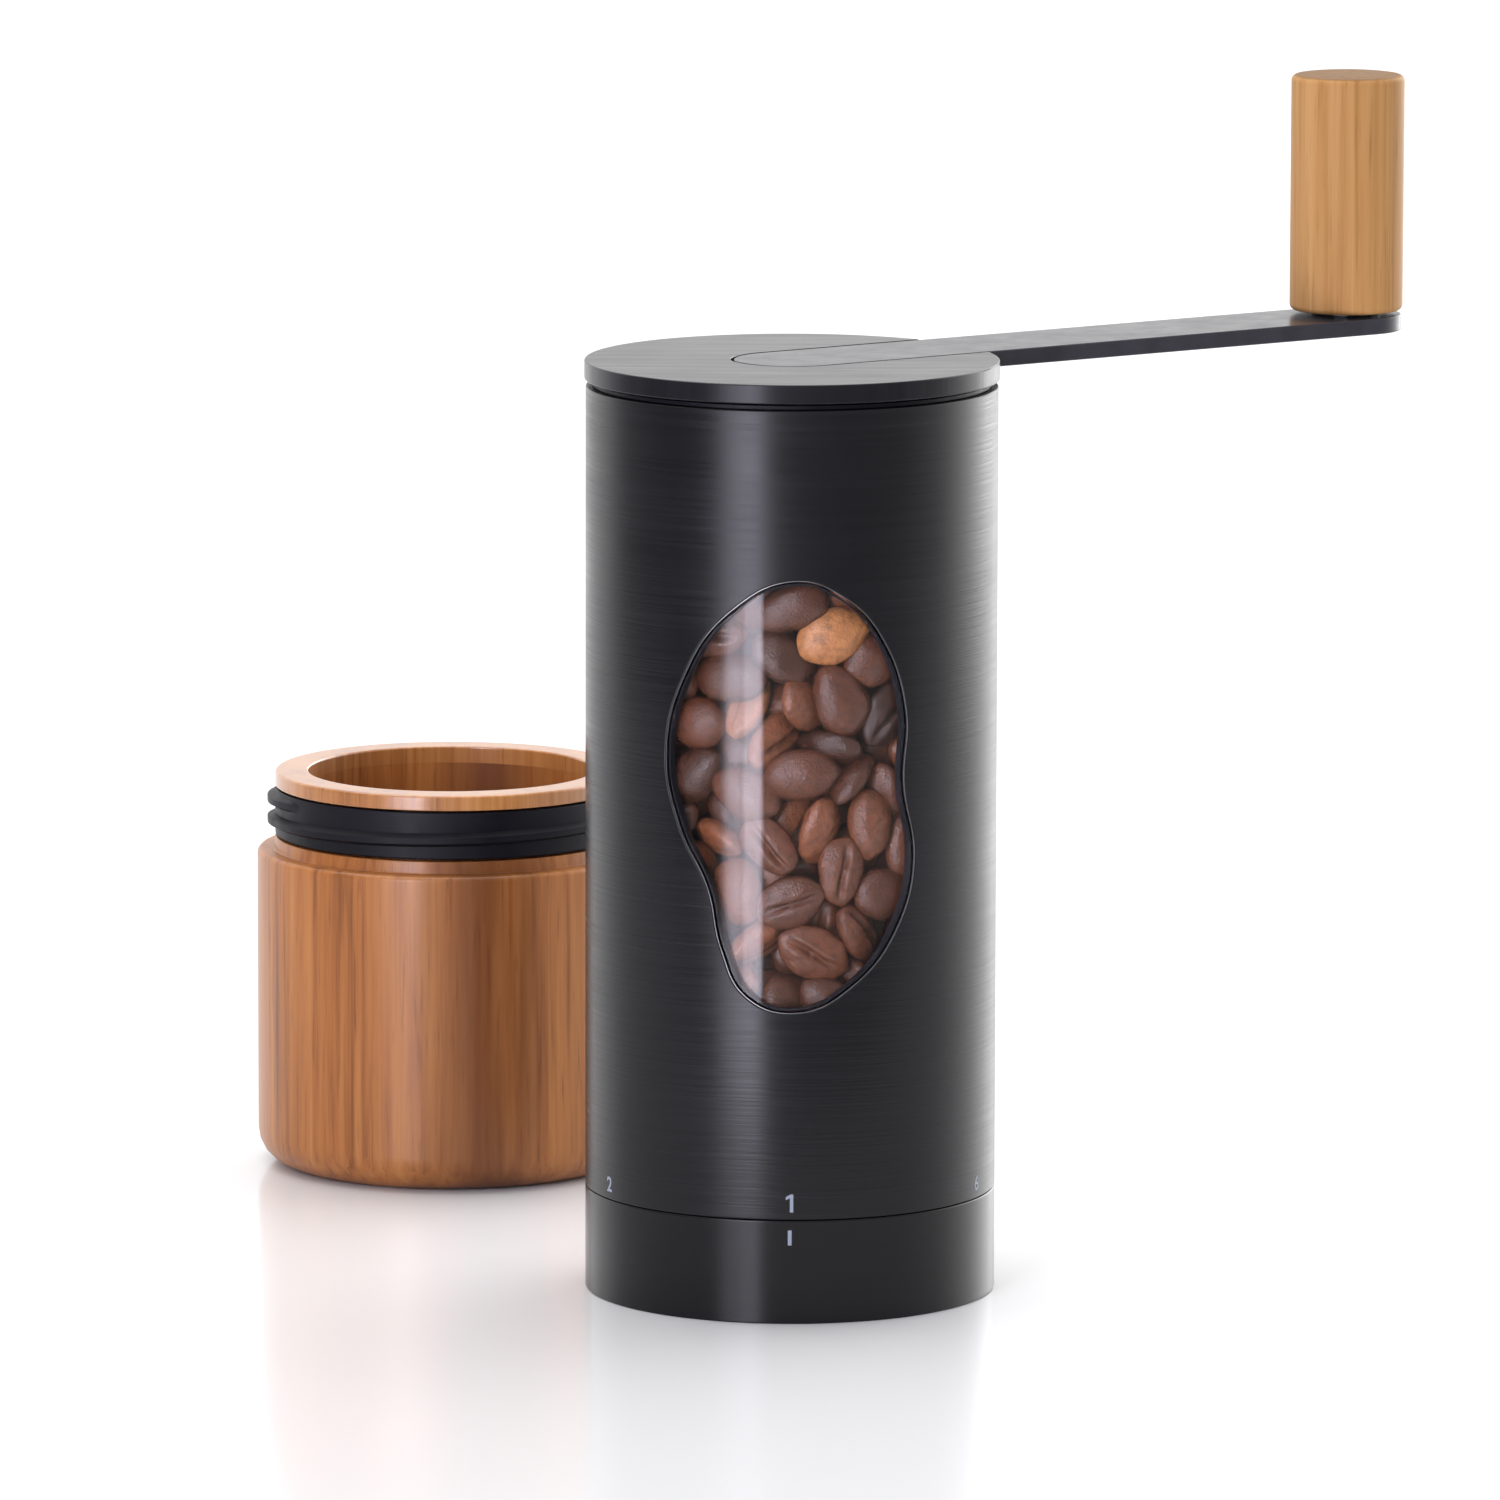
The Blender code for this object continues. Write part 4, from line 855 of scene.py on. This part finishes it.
def beanShape(random):
    # one bean as unit points: domed back (+Z), flat creased front (-Z)
    s = beanSizes
    points = []
    rings, spokes = s["rings"], s["spokes"]
    bend = random.uniform(-0.35, 0.35)
    plump = random.uniform(0.92, 1.08)
    phases = random.uniform(0, 6.28, 3)
    for i in range(rings + 1):
        tilt = math.pi * i / rings
        for k in range(spokes):
            turn = 2 * math.pi * k / spokes
            x = math.sin(tilt) * math.cos(turn)
            y = math.sin(tilt) * math.sin(turn)
            z = math.cos(tilt)
            reach = s["length"] / 2
            wide = s["width"] / 2 * plump
            height = z * (s["back"] if z > 0 else s["front"])
            px = x * reach
            py = y * wide * (1 - 0.12 * x)
            if z < 0.15:
                middleLine = 0.09 * wide * math.sin(2.6 * x + bend)
                off = (py - middleLine) / (0.13 * wide)
                fade = max(0.0, 1 - abs(x) ** 3)
                height += 0.55 * s["front"] * math.exp(-off * off) * fade * min(1, 0.15 - z)
                height -= 0.12 * s["front"] * math.exp(-((abs(off) - 1.9) / 1.2) ** 2) * fade
            wobble = (1 + 0.02 * math.sin(5 * x + phases[0]) + 0.02 * math.sin(6 * y + phases[1])
                      + 0.015 * math.sin(9 * x + 4 * y + phases[2]))
            points.append((px * wobble, py * wobble, height * wobble))
    return np.array(points)


def beanFaces():
    rings, spokes = beanSizes["rings"], beanSizes["spokes"]
    faces = []
    for i in range(rings):
        for k in range(spokes):
            m = (k + 1) % spokes
            faces.append([i * spokes + k, (i + 1) * spokes + k, (i + 1) * spokes + m,
                          i * spokes + m])
    return faces


def packBeans():
    # four balls stand for each bean; they push one another apart inside the hopper
    s = beanSizes
    random = np.random.default_rng(s["packSeed"])
    low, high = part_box("coffee_beans")
    wall = bodyRadius - bodySizes["wall"] - s["wallGap"]
    wide = s["windowBeans"]
    count = wide + s["topBeans"]
    inWindow = np.arange(count) < wide
    centres = np.zeros((count, 3))
    turns = np.zeros((count, 3, 3))
    for i in range(count):
        if inWindow[i]:
            angle = -math.pi / 2 + random.uniform(-1, 1) * s["reach"]
            radius = math.sqrt(random.uniform((wall - s["depth"]) ** 2, (wall - 2 * mm) ** 2))
            height = random.uniform(low.z + 3 * mm, high.z - 3 * mm)
        else:
            angle = random.uniform(0, 2 * math.pi)
            radius = math.sqrt(random.uniform((8 * mm) ** 2, (wall - 3 * mm) ** 2))
            height = random.uniform(high.z - s["layer"], high.z - 2.5 * mm)
        centres[i] = (radius * math.cos(angle), radius * math.sin(angle), height)
        outwards = (math.cos(angle), math.sin(angle), 0) if inWindow[i] else (0, 0, 1)
        facing = (Vector(outwards) + Vector(random.normal(0, s["lean"], 3))).normalized()
        facing *= 1 if random.uniform() < s["outwardShare"] else -1
        side = facing.cross(Vector(random.normal(0, 1, 3))).normalized()
        turns[i] = np.array(Matrix((side, facing.cross(side), facing)).transposed())
    balls = np.array([(0.27, 0, 0.04), (-0.27, 0, 0.04), (0, 0.19, 0.04), (0, -0.19, 0.04)])
    balls[:, :2] *= s["length"]
    balls[:, 2] *= s["back"]
    size = s["ball"]
    index = np.repeat(np.arange(count), 4)
    apart = index[:, None] != index[None, :]
    for step in range(s["steps"]):
        spots = (np.einsum("bij,kj->bki", turns, balls) + centres[:, None]).reshape(-1, 3)
        gap = spots[:, None] - spots[None]
        distance = np.sqrt((gap * gap).sum(-1)) + 1e-9
        push = np.where(apart & (distance < 2 * size), 2 * size - distance, 0.0)
        move = (gap / distance[..., None] * push[..., None]).sum(1) * s["push"]
        flat = np.linalg.norm(spots[:, :2], axis=1)
        spoke = spots[:, :2] / flat[:, None]
        over = np.maximum(flat - (wall - size), 0)
        move[:, :2] -= spoke * over[:, None]
        nearest = np.where(inWindow[index], wall - s["depth"] - 3 * mm, 6 * mm)
        move[:, :2] += spoke * np.maximum(nearest - flat, 0)[:, None]
        floor = np.where(inWindow[index], low.z, high.z - s["layer"] - 2 * mm)
        move[:, 2] += np.maximum(floor + size - spots[:, 2], 0)
        move[:, 2] -= np.maximum(spots[:, 2] - (high.z - size), 0)
        if step < s["steps"] * 0.8:
            move[:, :2] += spoke * s["drift"] * mm * inWindow[index][:, None]
        arms = (spots - centres[index]).reshape(count, 4, 3)
        moves = move.reshape(count, 4, 3)
        centres += moves.mean(1)
        twist = np.cross(arms, moves).sum(1) / (arms ** 2).sum((1, 2))[:, None]
        for i in range(count):
            amount = float(np.linalg.norm(twist[i]))
            if amount > 1e-5:
                spin = Matrix.Rotation(min(amount, 0.2), 3, Vector(twist[i] / amount))
                turns[i] = np.array(spin) @ turns[i]
    return centres, turns


def makeBeans():
    random = np.random.default_rng(beanSizes["shapeSeed"])
    centres, turns = packBeans()
    faces = beanFaces()
    points, allFaces, roasts = [], [], []
    pale = {}
    for degrees, height, tone in beanSizes["pale"]:
        turn = math.radians(degrees)
        reach = bodyRadius - 5.5 * mm
        spot = np.array((reach * math.sin(turn), -reach * math.cos(turn), height))
        pale[int(np.argmin(np.linalg.norm(centres - spot, axis=1)))] = tone
    for i, (centre, turn) in enumerate(zip(centres, turns)):
        shape = beanShape(random) * random.uniform(0.93, 1.05)
        placed = shape @ turn.T + centre
        start = len(points)
        points += [(grinderAxis.x + x, grinderAxis.y + y, z) for x, y, z in placed]
        allFaces += [[start + k for k in face] for face in faces]
        tone = pale.get(i, min(0.9, random.beta(2.2, 2.2)))
        roasts += [tone] * len(placed)
    mesh = bpy.data.meshes.new("coffee_beans_fine")
    mesh.from_pydata(points, [], allFaces)
    store = mesh.attributes.new("roast", "FLOAT", "POINT")
    store.data.foreach_set("value", np.array(roasts, np.float32))
    work = bmesh.new()
    work.from_mesh(mesh)
    bmesh.ops.remove_doubles(work, verts=work.verts, dist=1e-7)
    bmesh.ops.recalc_face_normals(work, faces=work.faces)
    work.to_mesh(mesh)
    work.free()
    mesh.shade_smooth()
    own(addObject("coffee_beans_fine", mesh), "housing", ["coffee_beans"],
        looks["beans"].material)


makeBeans()
print("beans made")

# The other CAD nodes keep their shapes and take these finishes
finishes = {
    "brightSteel": ["drive_shaft", "knob_axle", "burr_washer", "arm_screw_1", "arm_screw_2",
                    "lid_screw_1", "lid_screw_2", "lid_screw_3", "bridge_screw_1",
                    "bridge_screw_2", "bridge_screw_3"],
    "springSteel": ["preload_spring", "shaft_clip", "ring_clip", "axle_clip"],
    "burrSteel": ["inner_burr", "outer_burr", "lower_bridge"],
    "brass": ["adjusting_nut", "burr_carrier", "burr_nut", "knob_insert"],
    "bronze": ["upper_bush", "lower_bush"],
    "plastic": ["top_bridge", "hopper_funnel", "burr_housing", "lid_hub", "knob_washer"],
}
for look, names in finishes.items():
    for name in names:
        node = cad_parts[name]
        node.data.materials.clear()
        node.data.materials.append(looks[look].material)
print("other nodes finished")

# Floor
floorSizes = {"front": -0.22, "back": 3.0, "side": 0.6, "roughness": (0.13, 0.16),
              "tones": [(0.3, (0.67, 0.67, 0.675)), (0.7, (0.69, 0.69, 0.695))]}


def makeFloor():
    s = floorSizes
    side = s["side"]
    corners = [(-side, s["front"], 0), (side, s["front"], 0), (side, s["back"], 0),
               (-side, s["back"], 0)]
    floor = addObject("floor", meshOf("floor", corners, [[0, 1, 2, 3]]))
    look = Look("floor", IOR=1.45)
    cloud = look.noise((4, 4, 4))
    look.colour(look.ramp(cloud, s["tones"]))
    look.roughness(look.spread(cloud, *s["roughness"]))
    floor.data.materials.append(look.material)


makeFloor()
print("floor made")

# Studio light: brightness by compass angle from the camera's side, negative to its left
studioLight = {
    "around": [(-180, 1.1), (-150, 1.6), (-125, 1.7), (-108, 0.6), (-80, 0.2), (-48, 0.2),
               (-41, 0.7), (-36, 7.0), (-30, 8.4), (-28.5, 5.0), (-27, 11.5), (-18, 12.8),
               (-15.5, 0.6), (0, 0.46), (35, 0.38), (65, 0.5), (90, 1.2), (115, 3.6),
               (138, 6.0), (155, 5.2), (168, 1.7), (180, 1.1)],
    "brightest": 13.0, "overhead": 0.9, "backdrop": 1.1, "overheadFrom": (0.45, 0.8),
    "strip": (-40, -16), "stripTint": (0.88, 0.86, 1.0)}
lampSizes = {"width": 1.6, "depth": 1.2, "power": 22, "place": (-0.25, 0.35, 1.5),
             "targetHeight": 0.08}
brightest = studioLight["brightest"]
world = bpy.data.worlds.new("studio")
scene.world = world
world.use_nodes = True
tree = world.node_tree
background = tree.nodes["Background"]
direction = tree.nodes.new("ShaderNodeTexCoord")
split = tree.nodes.new("ShaderNodeSeparateXYZ")
tree.links.new(direction.outputs["Generated"], split.inputs["Vector"])


def worldMath(operation, first, second):
    node = tree.nodes.new("ShaderNodeMath")
    node.operation = operation
    for socket, value in zip(node.inputs, (first, second)):
        if isinstance(value, (int, float)):
            socket.default_value = value
        else:
            tree.links.new(value, socket)
    return node.outputs["Value"]


def worldBlend(factor, colour, light):
    # a colour giving way to plain light
    node = tree.nodes.new("ShaderNodeMix")
    node.data_type = "RGBA"
    tree.links.new(factor, node.inputs["Factor"])
    sockets = [s for s in node.inputs if s.type == "RGBA"]
    tree.links.new(colour, sockets[0])
    sockets[1].default_value = (light / brightest,) * 3 + (1.0,)
    return [s for s in node.outputs if s.type == "RGBA"][0]


front = worldMath("MULTIPLY", split.outputs["Y"], -1.0)
angle = worldMath("ARCTAN2", split.outputs["X"], front)
share = worldMath("ADD", worldMath("DIVIDE", angle, 2 * math.pi), 0.5)
studio = tree.nodes.new("ShaderNodeValToRGB")
stops = studio.color_ramp.elements
while len(stops) < len(studioLight["around"]):
    stops.new(0.5)
stripLeft, stripRight = studioLight["strip"]
for stop, (degrees, light) in zip(stops, studioLight["around"]):
    tint = studioLight["stripTint"] if stripLeft < degrees < stripRight else (1.0, 1.0, 1.0)
    stop.position = degrees / 360 + 0.5
    stop.color = (*(light / brightest * c for c in tint), 1.0)
tree.links.new(share, studio.inputs["Fac"])
up = tree.nodes.new("ShaderNodeMapRange")
up.interpolation_type = "SMOOTHSTEP"
up.inputs["From Min"].default_value = studioLight["overheadFrom"][0]
up.inputs["From Max"].default_value = studioLight["overheadFrom"][1]
tree.links.new(split.outputs["Z"], up.inputs["Value"])
ray = tree.nodes.new("ShaderNodeLightPath")
lit = worldBlend(up.outputs["Result"], studio.outputs["Color"], studioLight["overhead"])
seen = worldBlend(ray.outputs["Is Camera Ray"], lit, studioLight["backdrop"])
tree.links.new(seen, background.inputs["Color"])
background.inputs["Strength"].default_value = brightest


def makeTopLight():
    s = lampSizes
    data = bpy.data.lights.new("top_light", "AREA")
    data.shape = "RECTANGLE"
    data.size = s["width"]
    data.size_y = s["depth"]
    data.energy = s["power"]
    light = addObject("top_light", data)
    target = Vector((grinderAxis.x, grinderAxis.y, s["targetHeight"]))
    light.location = target + Vector(s["place"])
    away = light.location - target
    light.rotation_euler = away.to_track_quat("Z", "Y").to_euler()


makeTopLight()
print("light made")

# Camera: lengths in metres from the grinder's foot, angles in degrees, lens in millimetres
cameraSizes = {"lens": 302.5, "sensor": 36.0, "away": 1.8164, "height": 0.3655, "down": 8.955,
               "swing": 0.18908, "roll": 0.13178}


def makeCamera():
    s = cameraSizes
    data = bpy.data.cameras.new("camera")
    data.lens = s["lens"]
    data.sensor_width = s["sensor"]
    data.clip_end = 20
    camera = addObject("camera", data)
    place = Matrix.Translation((grinderAxis.x, grinderAxis.y - s["away"], s["height"]))
    for degrees, axis in ((s["swing"], "Z"), (90 - s["down"], "X"), (s["roll"], "Z")):
        place = place @ Matrix.Rotation(math.radians(degrees), 4, axis)
    camera.matrix_world = place
    scene.camera = camera
    scene.view_settings.view_transform = "Standard"


makeCamera()
print("camera made")
